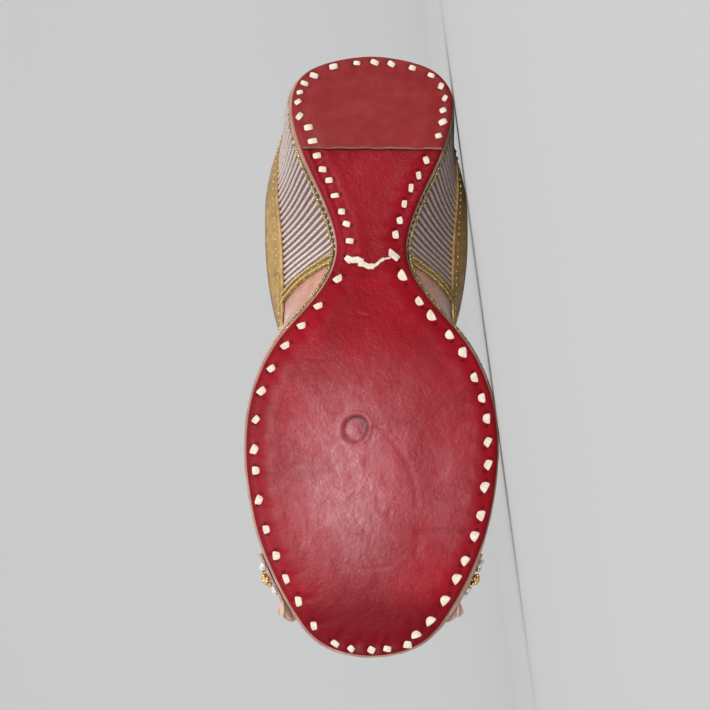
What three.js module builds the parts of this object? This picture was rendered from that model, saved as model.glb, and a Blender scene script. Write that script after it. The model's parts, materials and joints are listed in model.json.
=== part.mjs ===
// Mojari shoe of a child's size: a stitched leather outsole with a heel lift, a rand, an
// insole, one hollow upper, its folded collar binding, two seam bands and a toe garland.
// Millimetres. The shoe is worked out with X across it, Y from heel to toe and Z up from
// the ground plane of its sole. The finished group is then laid down on its +X side.

import * as THREE from 'three';
import { ConvexHull } from 'three/addons/math/ConvexHull.js';
import { mergeVertices } from 'three/addons/utils/BufferGeometryUtils.js';

// Sizes of the sole
const shoeLength = 190;
const heelWidth = 51.8;
const waistWidth = 21.8;
const ballWidth = 79.8;
const soleThickness = 2.8;
const soleEdgeRound = 0.4;
const domeDepth = 1.6;
const flatSpotShare = 0.3;
const heelLiftLength = 29.5;
const heelLiftThickness = 3;
const archRise = 1.6;
const toeSpring = 5;

// Clearance between two curved pieces that touch on the real shoe
const fitGap = 0.3;

// Sizes of the rand and the insole
const randThickness = 1.2;
const insoleThickness = 1.7;

// Sizes of the upper. Its heights are measured from the top of the rand.
const upperWall = 1.8;
const upperInset = 0.6;
const collarWidth = 63.4;
const collarSetBack = 3;
const throatPlace = 108;
const heelHeight = 37.1;
const sideHeight = 27.3;
const throatHeight = 36.8;

// Sizes of the binding and the seam bands
const bindingThickness = 0.8;
const bindingGap = 0.4;
const bindingOutsideDepth = 7.4;
const bindingInsideDepth = 5;
const seamBandWidth = 3.2;
const seamBandThickness = 0.7;
const seamFootPlace = 0.352;
const seamHeadPlace = 0.424;
const seamBandFoot = 0.07;

// Sizes of the toe garland
const garlandSetBack = 25;
const garlandWidth = 15;
const garlandThickness = 0.9;
const beadRadius = 2.4;
const beadWaistRadius = 1.7;
const petalWidth = 6.6;
const petalReach = 7;
const petalRoot = 2.4;
const petalThickness = 0.9;
const petalLift = 0.62;
const garlandFoot = 0.08;

// Fineness of the faceted solids
const stepsAround = 88;
const stepsUp = 10;
const stepsAcrossSole = 8;
const stepsAcrossFlat = 2;
const stepsOverVamp = 28;
const stepsPerBead = 4;
const stepsPerPetal = 6;
const beadSides = 8;
const smallStep = 0.004;
const samePoint = 0.001;

// Outline of the sole, a row for each station: its place as a share of the length, and the
// half width as a step from one named half width towards another.
const outlineRows = [
  { along: 0.0, from: 'tip', to: 'heel', step: 0.0 },
  { along: 0.0065, from: 'tip', to: 'heel', step: 0.41 },
  { along: 0.0165, from: 'tip', to: 'heel', step: 0.67 },
  { along: 0.031, from: 'tip', to: 'heel', step: 0.86 },
  { along: 0.054, from: 'tip', to: 'heel', step: 0.975 },
  { along: 0.08, from: 'tip', to: 'heel', step: 1.0 },
  { along: 0.124, from: 'waist', to: 'heel', step: 0.907 },
  { along: 0.171, from: 'waist', to: 'heel', step: 0.7 },
  { along: 0.218, from: 'waist', to: 'heel', step: 0.42 },
  { along: 0.265, from: 'waist', to: 'heel', step: 0.165 },
  { along: 0.322, from: 'waist', to: 'heel', step: 0.0 },
  { along: 0.359, from: 'waist', to: 'ball', step: 0.06 },
  { along: 0.395, from: 'waist', to: 'ball', step: 0.2 },
  { along: 0.43, from: 'waist', to: 'ball', step: 0.395 },
  { along: 0.477, from: 'waist', to: 'ball', step: 0.655 },
  { along: 0.523, from: 'waist', to: 'ball', step: 0.825 },
  { along: 0.582, from: 'waist', to: 'ball', step: 0.955 },
  { along: 0.66, from: 'tip', to: 'ball', step: 1.0 },
  { along: 0.735, from: 'tip', to: 'ball', step: 0.965 },
  { along: 0.805, from: 'tip', to: 'ball', step: 0.89 },
  { along: 0.876, from: 'tip', to: 'ball', step: 0.75 },
  { along: 0.93, from: 'tip', to: 'ball', step: 0.605 },
  { along: 0.969, from: 'tip', to: 'ball', step: 0.465 },
  { along: 0.991, from: 'tip', to: 'ball', step: 0.28 },
  { along: 1.0, from: 'tip', to: 'ball', step: 0.0 },
];

// Side view of the sole, a row for each station along it: shares of the heel seat, of the
// arch rise, of the toe spring and of the dome's depth.
const sideRows = [
  { along: 0.0, heel: 1.0, arch: 0.0, toe: 0.0, dome: 0.0 },
  { along: 0.17, heel: 1.0, arch: 0.0, toe: 0.0, dome: 0.0 },
  { along: 0.25, heel: 0.9, arch: 0.6, toe: 0.0, dome: 0.2 },
  { along: 0.33, heel: 0.62, arch: 1.0, toe: 0.0, dome: 0.4 },
  { along: 0.42, heel: 0.25, arch: 0.6, toe: 0.0, dome: 0.8 },
  { along: 0.51, heel: 0.03, arch: 0.1, toe: 0.0, dome: 1.0 },
  { along: 0.57, heel: 0.0, arch: 0.0, toe: 0.0, dome: 1.0 },
  { along: 0.75, heel: 0.0, arch: 0.0, toe: 0.0, dome: 1.0 },
  { along: 0.83, heel: 0.0, arch: 0.0, toe: 0.1, dome: 0.9 },
  { along: 0.92, heel: 0.0, arch: 0.0, toe: 0.45, dome: 0.6 },
  { along: 1.0, heel: 0.0, arch: 0.0, toe: 1.0, dome: 0.3 },
];

// Topline of the upper, a row for each place round the sole's edge, from the back of the
// heel at 0 to the tip of the toe at 1:
//   along        place of the topline, a share of the way from collar back to throat
//   half         half width of the topline, a share of the collar's
//   heelRise     share of the heel's extra height over the side
//   throatRise   share of the throat's extra height over the side
const toplineRows = [
  { at: 0.0, along: 0.0, half: 0.0, heelRise: 1.0, throatRise: 0.0 },
  { at: 0.05, along: 0.012, half: 0.29, heelRise: 0.99, throatRise: 0.0 },
  { at: 0.1, along: 0.062, half: 0.585, heelRise: 0.92, throatRise: 0.0 },
  { at: 0.15, along: 0.148, half: 0.81, heelRise: 0.74, throatRise: 0.0 },
  { at: 0.2, along: 0.258, half: 0.94, heelRise: 0.42, throatRise: 0.0 },
  { at: 0.26, along: 0.388, half: 1.0, heelRise: 0.15, throatRise: 0.0 },
  { at: 0.33, along: 0.524, half: 0.995, heelRise: 0.0, throatRise: 0.0 },
  { at: 0.38, along: 0.636, half: 0.96, heelRise: 0.0, throatRise: 0.05 },
  { at: 0.44, along: 0.742, half: 0.895, heelRise: 0.0, throatRise: 0.2 },
  { at: 0.51, along: 0.838, half: 0.785, heelRise: 0.0, throatRise: 0.48 },
  { at: 0.58, along: 0.909, half: 0.645, heelRise: 0.0, throatRise: 0.73 },
  { at: 0.67, along: 0.96, half: 0.47, heelRise: 0.0, throatRise: 0.89 },
  { at: 0.77, along: 0.988, half: 0.3, heelRise: 0.0, throatRise: 0.97 },
  { at: 0.88, along: 0.998, half: 0.145, heelRise: 0.0, throatRise: 1.0 },
  { at: 1.0, along: 1.0, half: 0.0, heelRise: 0.0, throatRise: 1.0 },
];

// Sections of the upper at the same places. Each section is one curve with two handles,
// from the sole's edge up to the topline.
//   lowOut, lowUp   lower handle, outwards and up, shares of the section's height
//   topReach        upper handle towards the sole's edge, a share of the way in plan
//   topDrop         upper handle down, a share of the section's height
//   randOut         how far the rand stands out from the sole's edge
const sectionRows = [
  { at: 0.0, lowOut: 0.1, lowUp: 0.35, topReach: 0.0, topDrop: 0.35, randOut: 0.8 },
  { at: 0.05, lowOut: 0.1, lowUp: 0.35, topReach: 0.0, topDrop: 0.35, randOut: 0.8 },
  { at: 0.1, lowOut: 0.1, lowUp: 0.34, topReach: 0.06, topDrop: 0.35, randOut: 0.8 },
  { at: 0.15, lowOut: 0.11, lowUp: 0.33, topReach: 0.15, topDrop: 0.35, randOut: 0.85 },
  { at: 0.2, lowOut: 0.15, lowUp: 0.33, topReach: 0.26, topDrop: 0.34, randOut: 0.9 },
  { at: 0.26, lowOut: 0.23, lowUp: 0.33, topReach: 0.32, topDrop: 0.33, randOut: 0.95 },
  { at: 0.33, lowOut: 0.26, lowUp: 0.32, topReach: 0.31, topDrop: 0.33, randOut: 1.0 },
  { at: 0.38, lowOut: 0.25, lowUp: 0.32, topReach: 0.27, topDrop: 0.33, randOut: 0.95 },
  { at: 0.44, lowOut: 0.21, lowUp: 0.32, topReach: 0.25, topDrop: 0.32, randOut: 0.85 },
  { at: 0.51, lowOut: 0.2, lowUp: 0.35, topReach: 0.26, topDrop: 0.27, randOut: 0.7 },
  { at: 0.58, lowOut: 0.18, lowUp: 0.39, topReach: 0.36, topDrop: 0.2, randOut: 0.55 },
  { at: 0.67, lowOut: 0.17, lowUp: 0.38, topReach: 0.46, topDrop: 0.14, randOut: 0.5 },
  { at: 0.77, lowOut: 0.22, lowUp: 0.36, topReach: 0.46, topDrop: 0.14, randOut: 0.5 },
  { at: 0.88, lowOut: 0.23, lowUp: 0.36, topReach: 0.45, topDrop: 0.14, randOut: 0.6 },
  { at: 1.0, lowOut: 0.12, lowUp: 0.36, topReach: 0.45, topDrop: 0.16, randOut: 0.7 },
];

// Smooth curve through one column of a table. Past either end the table goes on as its own
// mirror image, with the sign turned where mirrorSign is -1. It never overshoots a row, so
// a level stretch stays level.
function columnCurve(rows, keyColumn, column, mirrorSign = 1) {
  const places = rows.map((row) => row[keyColumn]);
  const values = rows.map((row) => row[column]);
  const last = places.length - 1;
  const x = [2 * places[0] - places[1], ...places, 2 * places[last] - places[last - 1]];
  const y = [mirrorSign * values[1], ...values, mirrorSign * values[last - 1]];
  const slopeAfter = (i) => (y[i + 1] - y[i]) / (x[i + 1] - x[i]);
  const slopeAt = (i) => {
    const before = slopeAfter(i - 1);
    const after = slopeAfter(i);
    if (before * after <= 0) return 0;
    return (2 * before * after) / (before + after);
  };
  return (place) => {
    const held = THREE.MathUtils.clamp(place, places[0], places[last]);
    let i = 1;
    while (i < last && x[i + 1] < held) i += 1;
    const width = x[i + 1] - x[i];
    const u = (held - x[i]) / width;
    const rise = u * u * (3 - 2 * u);
    const leave = u * (1 - u) * (1 - u) * slopeAt(i) * width;
    const arrive = u * u * (1 - u) * slopeAt(i + 1) * width;
    return y[i] + rise * (y[i + 1] - y[i]) + leave - arrive;
  };
}

// The sole's outline as one closed curve, from the back of the heel up the +X side, round
// the toe and back down the -X side.
const halfWidths = { tip: 0, heel: heelWidth / 2, waist: waistWidth / 2, ball: ballWidth / 2 };
const rightSide = outlineRows.map(({ along, from, to, step }) => new THREE.Vector3(
  THREE.MathUtils.lerp(halfWidths[from], halfWidths[to], step), along * shoeLength, 0));
const leftSide = rightSide.slice(1, -1).reverse().map((p) => new THREE.Vector3(-p.x, p.y, 0));
const outline = new THREE.CatmullRomCurve3([...rightSide, ...leftSide], true, 'centripetal');
outline.arcLengthDivisions = 20 * stepsAround;

// A place round the edge runs from 0 at the back of the heel, through 1 at the tip of the
// toe, to 2 at the heel again. The -X side is the mirror image of the +X side.
function edgePoint(place, outwards) {
  const share = Math.min(place, 2 - place);
  const side = place <= 1 ? 1 : -1;
  const point = outline.getPointAt(share / 2);
  const tangent = outline.getTangentAt(share / 2);
  const onAxis = share === 0 || share === 1;
  const x = onAxis ? 0 : point.x + outwards * tangent.y;
  const y = onAxis ? point.y + outwards * Math.sign(share - 0.5) : point.y - outwards * tangent.x;
  return new THREE.Vector3(side * Math.max(x, 0), y, 0);
}

function outwardAt(place) {
  return edgePoint(place, 1).sub(edgePoint(place, 0)).normalize();
}

// Heights of the sole along its length
const heelPart = columnCurve(sideRows, 'along', 'heel');
const archPart = columnCurve(sideRows, 'along', 'arch');
const toePart = columnCurve(sideRows, 'along', 'toe');
const domePart = columnCurve(sideRows, 'along', 'dome');

function soleMiddle(y) {
  const along = y / shoeLength;
  return heelPart(along) * (heelLiftThickness + fitGap) + archPart(along) * archRise
    + toePart(along) * toeSpring;
}

function soleBottom(y, across) {
  const beyond = Math.max(0, (Math.abs(across) - flatSpotShare) / (1 - flatSpotShare));
  return soleMiddle(y) + domePart(y / shoeLength) * domeDepth * beyond * beyond;
}

function soleTop(y) {
  return soleBottom(y, 1) + soleThickness;
}

const randBottom = (y) => soleTop(y) + fitGap;
const randTop = (y) => randBottom(y) + randThickness;
const upperBottom = (y) => randTop(y) + fitGap;

// The upper's outer surface: place round the edge, and height from 0 at the sole's edge to
// 1 at the topline.
const topAlong = columnCurve(toplineRows, 'at', 'along');
const topHalf = columnCurve(toplineRows, 'at', 'half', -1);
const heelRise = columnCurve(toplineRows, 'at', 'heelRise');
const throatRise = columnCurve(toplineRows, 'at', 'throatRise');
const lowOut = columnCurve(sectionRows, 'at', 'lowOut');
const lowUp = columnCurve(sectionRows, 'at', 'lowUp');
const topReach = columnCurve(sectionRows, 'at', 'topReach');
const topDrop = columnCurve(sectionRows, 'at', 'topDrop');
const randOut = columnCurve(sectionRows, 'at', 'randOut');

function upperSection(place) {
  const share = Math.min(place, 2 - place);
  const side = place <= 1 ? 1 : -1;
  const foot = edgePoint(place, -upperInset);
  foot.z = upperBottom(foot.y);
  const topX = side * topHalf(share) * collarWidth / 2;
  const topY = THREE.MathUtils.lerp(collarSetBack, throatPlace, topAlong(share));
  const rise = sideHeight + heelRise(share) * (heelHeight - sideHeight)
    + throatRise(share) * (throatHeight - sideHeight);
  const top = new THREE.Vector3(topX, topY, upperBottom(topY) + rise);
  const height = top.z - foot.z;
  const low = foot.clone().addScaledVector(outwardAt(place), lowOut(share) * height);
  low.z += lowUp(share) * height;
  const high = top.clone().lerp(new THREE.Vector3(foot.x, foot.y, top.z), topReach(share));
  high.z -= topDrop(share) * height;
  return new THREE.CubicBezierCurve3(foot, low, high, top);
}

function wrap(place) {
  return ((place % 2) + 2) % 2;
}

function upperPoint(place, up) {
  return upperSection(wrap(place)).getPoint(up);
}

function upperNormal(place, up) {
  const ahead = upperPoint(place + smallStep, up).sub(upperPoint(place - smallStep, up));
  const rise = upperSection(wrap(place)).getTangent(up);
  return ahead.cross(rise).normalize();
}

function upperAt(place, up, outwards) {
  return upperPoint(place, up).addScaledVector(upperNormal(place, up), outwards);
}

// A solid from a run of rings of points. Each ring holds one side's points and then the
// other side's in reverse, so an end is closed by a strip between the two.
function loft(rings, isClosed) {
  const count = rings[0].length;
  const faces = [];
  const quad = (a, b, c, d) => faces.push(a, b, c, a, c, d);
  const links = isClosed ? rings.length : rings.length - 1;
  for (let i = 0; i < links; i += 1) {
    const next = ((i + 1) % rings.length) * count;
    for (let j = 0; j < count; j += 1) {
      const k = (j + 1) % count;
      quad(i * count + j, i * count + k, next + k, next + j);
    }
  }
  if (!isClosed) {
    const end = (rings.length - 1) * count;
    for (let j = 0; j < count / 2 - 1; j += 1) {
      quad(j, count - 1 - j, count - 2 - j, j + 1);
      quad(end + j, end + j + 1, end + count - 2 - j, end + count - 1 - j);
    }
  }
  return solidFrom(rings.flat(), faces);
}

// A closed geometry from points and faces: merges equal points, drops faces with no area
// and turns the whole outwards.
function solidFrom(points, faces) {
  const loose = new THREE.BufferGeometry().setFromPoints(points);
  loose.setIndex(faces);
  const merged = mergeVertices(loose, samePoint);
  const position = merged.getAttribute('position');
  const index = Array.from(merged.index.array);
  const kept = [];
  for (let i = 0; i < index.length; i += 3) {
    const [a, b, c] = index.slice(i, i + 3);
    if (a !== b && b !== c && c !== a) kept.push(a, b, c);
  }
  merged.setIndex(volumeOf(position, kept) < 0 ? kept.reverse() : kept);
  return merged;
}

function volumeOf(position, faces, centre = null) {
  const [a, b, c] = [new THREE.Vector3(), new THREE.Vector3(), new THREE.Vector3()];
  let volume = 0;
  for (let i = 0; i < faces.length; i += 3) {
    a.fromBufferAttribute(position, faces[i]);
    b.fromBufferAttribute(position, faces[i + 1]);
    c.fromBufferAttribute(position, faces[i + 2]);
    const wedge = a.dot(b.clone().cross(c)) / 6;
    volume += wedge;
    if (centre) centre.addScaledVector(a.clone().add(b).add(c), wedge / 4);
  }
  return volume;
}

// Even values from first to last
function spread(first, last, steps) {
  return Array.from({ length: steps + 1 }, (_, i) => first + ((last - first) * i) / steps);
}

const placesAround = spread(0, 2, stepsAround).slice(0, -1);
const placesAlong = spread(0, 1, stepsAround / 2);

// A flat piece with the sole's outline, between a bottom and a top surface. A station is
// the outline's half width at one y. Each ring has a rounded edge on both sides.
function soleSolid(stations, bottomAt, topAt, edgeRound, stepsAcross) {
  const shares = spread(-1, 1, stepsAcross);
  return loft(stations.map(({ half, y }) => {
    const flat = Math.max(half - edgeRound, 0);
    const middle = (bottomAt(y, 1) + topAt(y, 1)) / 2;
    return [
      new THREE.Vector3(-half, y, middle),
      ...shares.map((u) => new THREE.Vector3(u * flat, y, bottomAt(y, u))),
      new THREE.Vector3(half, y, middle),
      ...shares.map((u) => new THREE.Vector3(-u * flat, y, topAt(y, u))),
    ];
  }), false);
}

function edgeStations(outwards) {
  return placesAlong.map((place) => {
    const point = edgePoint(place, outwards);
    return { half: point.x, y: point.y };
  });
}

function makeOutsole() {
  return soleSolid(edgeStations(0), soleBottom, soleTop, soleEdgeRound, stepsAcrossSole);
}

function makeHeelLift() {
  const leastStep = 1;
  const behindFront = edgeStations(0).filter(({ y }) => y < heelLiftLength - leastStep);
  const next = edgeStations(0)[behindFront.length];
  const last = behindFront[behindFront.length - 1];
  const share = (heelLiftLength - last.y) / (next.y - last.y);
  const front = { half: THREE.MathUtils.lerp(last.half, next.half, share), y: heelLiftLength };
  return soleSolid([...behindFront, front], () => 0, () => heelLiftThickness, soleEdgeRound,
    stepsAcrossFlat);
}

function makeInsole() {
  const stations = edgeStations(-upperInset - upperWall - fitGap);
  return soleSolid(stations, (y) => soleTop(y) + fitGap,
    (y) => soleTop(y) + fitGap + insoleThickness, 0, stepsAcrossFlat);
}

function makeRand() {
  const inner = -upperInset - upperWall;
  return loft(placesAround.map((place) => {
    const outside = edgePoint(place, randOut(Math.min(place, 2 - place)));
    const inside = edgePoint(place, inner);
    return [
      outside.clone().setZ(randBottom(outside.y)),
      outside.clone().setZ(randTop(outside.y)),
      inside.clone().setZ(randTop(inside.y)),
      inside.clone().setZ(randBottom(inside.y)),
    ];
  }), true);
}

function makeUpper() {
  const heights = spread(0, 1, stepsUp);
  return loft(placesAround.map((place) => [
    ...heights.map((up) => upperAt(place, up, 0)),
    ...heights.map((up) => upperAt(place, up, -upperWall)).reverse(),
  ]), true);
}

// Height on the upper at a depth below the topline, measured along the section
function heightBelowTopline(place, depth) {
  const section = upperSection(place);
  return section.getUtoTmapping(1 - depth / section.getLength());
}

// The binding is a strip folded over the topline. Its two legs follow the wall's faces and
// its back stands clear of the wall's edge.
function makeCollarBinding() {
  const out = bindingGap + bindingThickness;
  return loft(placesAround.map((place) => {
    const edge = upperPoint(place, 1);
    const normal = upperNormal(place, 1);
    const onwards = upperSection(place).getTangent(1);
    const overEdge = (outwards, beyond) => edge.clone()
      .addScaledVector(normal, outwards).addScaledVector(onwards, beyond);
    const outsideLeg = [1, 0.5].map((share) => heightBelowTopline(place, share * bindingOutsideDepth));
    const insideLeg = [0.5, 1].map((share) => heightBelowTopline(place, share * bindingInsideDepth));
    return [
      ...outsideLeg.map((up) => upperAt(place, up, out)),
      overEdge(out, out),
      overEdge(-upperWall - out, out),
      ...insideLeg.map((up) => upperAt(place, up, -upperWall - out)),
      ...insideLeg.map((up) => upperAt(place, up, -upperWall - bindingGap)).reverse(),
      overEdge(-upperWall - bindingGap, bindingGap),
      overEdge(bindingGap, bindingGap),
      ...outsideLeg.map((up) => upperAt(place, up, bindingGap)).reverse(),
    ];
  }), true);
}

// Value between low and high at which isBefore turns from true to false
function turningValue(low, high, isBefore) {
  const halvings = 40;
  for (let i = 0; i < halvings; i += 1) {
    const half = (low + high) / 2;
    if (isBefore(half)) low = half;
    else high = half;
  }
  return (low + high) / 2;
}

// A seam band lies over the join of quarter and vamp, from above the rand to below the
// binding. side is 1 for +X and -1 for -X.
function makeSeamBand(side) {
  const sectionLength = upperSection(seamHeadPlace).getLength();
  const highest = 1 - (bindingOutsideDepth + 2 * fitGap) / sectionLength;
  return loft(spread(seamBandFoot, highest, stepsUp).map((up) => {
    const place = THREE.MathUtils.lerp(seamFootPlace, seamHeadPlace, up);
    const stride = upperPoint(place + smallStep, up).distanceTo(upperPoint(place - smallStep, up));
    const halfWidth = (seamBandWidth / stride) * smallStep;
    const places = spread(place - halfWidth, place + halfWidth, 2)
      .map((across) => (side > 0 ? across : 2 - across));
    return [
      ...places.map((across) => upperAt(across, up, fitGap)),
      ...places.map((across) => upperAt(across, up, fitGap + seamBandThickness)).reverse(),
    ];
  }), false);
}

// A line over the vamp at one y, from side to side: share 0 is low on the +X side, 1 low
// on the -X side. Returns the place and height on the upper.
function overVamp(y, share) {
  const fromSide = 1 - Math.abs(2 * share - 1);
  const first = turningValue(0, 1, (place) => upperPoint(place, garlandFoot).y < y);
  const place = first + (1 - first) * fromSide * fromSide;
  const up = turningValue(garlandFoot, 1, (height) => upperPoint(place, height).y > y);
  return { place: share <= 0.5 ? place : 2 - place, up };
}

function garlandPoint(y, share, outwards) {
  const { place, up } = overVamp(y, share);
  return upperAt(place, up, outwards);
}

function garlandLength(y, outwards) {
  const points = spread(0, 1, stepsOverVamp).map((share) => garlandPoint(y, share, outwards));
  return new THREE.CatmullRomCurve3(points).getLength();
}

// Shares of the line over the vamp that lie evenly along it
function evenShares(y, outwards, steps) {
  const fine = spread(0, 1, 4 * stepsOverVamp);
  const points = fine.map((share) => garlandPoint(y, share, outwards));
  const run = [0];
  for (let i = 1; i < points.length; i += 1) {
    run.push(run[i - 1] + points[i].distanceTo(points[i - 1]));
  }
  return spread(0, run[run.length - 1], steps).map((target) => {
    let i = 1;
    while (i < run.length - 1 && run[i] < target) i += 1;
    const part = (target - run[i - 1]) / (run[i] - run[i - 1]);
    return THREE.MathUtils.lerp(fine[i - 1], fine[i], part);
  });
}

const garlandPlace = shoeLength - garlandSetBack;
const garlandBack = garlandPlace - garlandWidth / 2;
const garlandFront = garlandPlace + garlandWidth / 2;

function makeToeBand() {
  return loft(evenShares(garlandPlace, fitGap, stepsOverVamp).map((share) => {
    const lines = spread(garlandBack, garlandFront, 2);
    return [
      ...lines.map((y) => garlandPoint(y, share, fitGap)),
      ...lines.map((y) => garlandPoint(y, share, fitGap + garlandThickness)).reverse(),
    ];
  }), false);
}

// The gold beads are one string: a round rod that is full at each bead and narrow between
function makeBeadString() {
  const bed = fitGap + garlandThickness + fitGap;
  const beads = Math.round(garlandLength(garlandPlace, bed + beadRadius) / (2 * beadRadius));
  const shares = evenShares(garlandPlace, bed + beadRadius, beads * stepsPerBead);
  const centres = shares.map((share) => garlandPoint(garlandPlace, share, bed + beadRadius));
  return loft(centres.map((centre, i) => {
    const ahead = centres[Math.min(i + 1, centres.length - 1)];
    const behind = centres[Math.max(i - 1, 0)];
    const along = ahead.clone().sub(behind).normalize();
    const { place, up } = overVamp(garlandPlace, shares[i]);
    const across = along.clone().cross(upperNormal(place, up)).normalize();
    const outwards = across.clone().cross(along).normalize();
    const swell = Math.sin(Math.PI * ((i / stepsPerBead) % 1));
    const radius = THREE.MathUtils.lerp(beadWaistRadius, beadRadius, swell);
    return Array.from({ length: beadSides }, (_, k) => {
      const turn = ((k + 0.5) / beadSides) * 2 * Math.PI;
      return centre.clone().addScaledVector(across, radius * Math.cos(turn))
        .addScaledVector(outwards, radius * Math.sin(turn));
    });
  }), false);
}

// The petals stand off the front of the band as one scalloped frill
function makePetalFrill() {
  const rootLine = garlandFront + fitGap;
  const petals = Math.round(garlandLength(rootLine, fitGap) / petalWidth);
  const shares = evenShares(rootLine, fitGap, petals * stepsPerPetal);
  return loft(shares.map((share, i) => {
    const { place, up } = overVamp(rootLine, share);
    const normal = upperNormal(place, up);
    const root = upperAt(place, up, fitGap);
    const downhill = upperSection(wrap(place)).getTangent(up).negate();
    const scallop = Math.sqrt(Math.abs(Math.sin((Math.PI * i) / stepsPerPetal)));
    const reach = THREE.MathUtils.lerp(petalRoot, petalReach, scallop);
    const tip = root.clone().addScaledVector(downhill, reach * Math.cos(petalLift))
      .addScaledVector(normal, reach * Math.sin(petalLift));
    const thick = normal.clone().multiplyScalar(petalThickness);
    return [root, tip, tip.clone().add(thick), root.clone().add(thick)];
  }), false);
}

// Colours and finishes of the real materials
const finishes = {
  soleLeather: { color: '#8e1b2c', roughness: 0.38, metalness: 0 },
  heelLeather: { color: '#8a2323', roughness: 0.62, metalness: 0 },
  randLeather: { color: '#b58e79', roughness: 0.75, metalness: 0 },
  insoleLeather: { color: '#c9a184', roughness: 0.7, metalness: 0 },
  upperCloth: { color: '#d39488', roughness: 0.7, metalness: 0 },
  goldLeather: { color: '#a98344', roughness: 0.5, metalness: 0.2 },
  goldThread: { color: '#a08a50', roughness: 0.45, metalness: 0.5 },
  goldBead: { color: '#c9a04a', roughness: 0.3, metalness: 0.9 },
  petalCloth: { color: '#d9a89c', roughness: 0.8, metalness: 0 },
};

function piece(name, geometry, finish) {
  const mesh = new THREE.Mesh(geometry, new THREE.MeshStandardMaterial(finishes[finish]));
  mesh.name = name;
  return mesh;
}

const shoe = new THREE.Group();
shoe.add(piece('outsole', makeOutsole(), 'soleLeather'));
shoe.add(piece('heel_lift', makeHeelLift(), 'heelLeather'));
shoe.add(piece('rand', makeRand(), 'randLeather'));
shoe.add(piece('insole', makeInsole(), 'insoleLeather'));
shoe.add(piece('upper', makeUpper(), 'upperCloth'));
shoe.add(piece('collar_binding', makeCollarBinding(), 'goldLeather'));
shoe.add(piece('seam_band_right', makeSeamBand(1), 'goldThread'));
shoe.add(piece('seam_band_left', makeSeamBand(-1), 'goldThread'));
shoe.add(piece('toe_band', makeToeBand(), 'petalCloth'));
shoe.add(piece('bead_string', makeBeadString(), 'goldBead'));
shoe.add(piece('petal_frill', makePetalFrill(), 'petalCloth'));

// All corners of the shoe
function cornersOf(group) {
  return group.children.flatMap((mesh) => {
    const position = mesh.geometry.getAttribute('position');
    return Array.from({ length: position.count },
      (_, i) => new THREE.Vector3().fromBufferAttribute(position, i));
  });
}

function centreOfMass(group) {
  const centre = new THREE.Vector3();
  let volume = 0;
  for (const { geometry } of group.children) {
    volume += volumeOf(geometry.getAttribute('position'), geometry.index.array, centre);
  }
  return centre.divideScalar(volume);
}

// The way down once the shoe lies at rest on its +X side. A face of the convex hull is a
// resting face if the centre of mass stands over it. The steadiest one is taken: the one
// whose edges are farthest from the point below the centre of mass.
function restingDirection(group) {
  const mostlySideways = 0.8;
  const centre = centreOfMass(group);
  const { faces } = new ConvexHull().setFromPoints(cornersOf(group));
  const restingFaces = [];
  for (const face of faces.filter(({ normal }) => normal.x > mostlySideways)) {
    const foot = centre.clone().addScaledVector(face.normal, -face.distanceToPoint(centre));
    const corners = [0, 1, 2].map((i) => face.getEdge(i).head().point);
    if (new THREE.Triangle(...corners).containsPoint(foot)) {
      const edgeDistances = corners.map((corner, i) => new THREE.Line3(corner, corners[(i + 1) % 3])
        .closestPointToPoint(foot, true, new THREE.Vector3()).distanceTo(foot));
      restingFaces.push({ normal: face.normal.clone(), steadiness: Math.min(...edgeDistances) });
    }
  }
  restingFaces.sort((a, b) => b.steadiness - a.steadiness);
  return restingFaces[0].normal;
}

// Laid down: the resting direction points to the floor, the toe to -X and the sole to -Y.
const down = restingDirection(shoe);
const toeward = new THREE.Vector3(0, 1, 0);
const rightward = toeward.addScaledVector(down, -toeward.dot(down)).normalize().negate();
const upward = down.clone().negate();
const backward = upward.clone().cross(rightward);
const laidDown = new THREE.Matrix4().makeBasis(rightward, backward, upward).transpose();
shoe.quaternion.setFromRotationMatrix(laidDown);

const laidBox = new THREE.Box3().setFromPoints(
  cornersOf(shoe).map((corner) => corner.applyQuaternion(shoe.quaternion)));
const laidCentre = laidBox.getCenter(new THREE.Vector3());
shoe.position.set(-laidCentre.x, -laidCentre.y, -laidBox.min.z);

const mojariShoe = new THREE.Group();
mojariShoe.add(shoe);

export default mojariShoe;
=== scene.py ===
# %% [markdown]
# # A mojari shoe, seen from below
#
# The solids of the shoe come from the CAD frame. This script dresses them: stitched sole
# leather, metal cords on the quarters, gold trimmings, beads and petals. It works in
# millimetres and in the shoe's own axes: X across the sole, Y from heel to toe, Z up from
# the ground. A finished piece is then turned into the frame's metres.

import json
import math
import random

import bmesh
import bpy
import numpy as np
from mathutils import Matrix, Vector, noise
from mathutils.bvhtree import BVHTree


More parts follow.
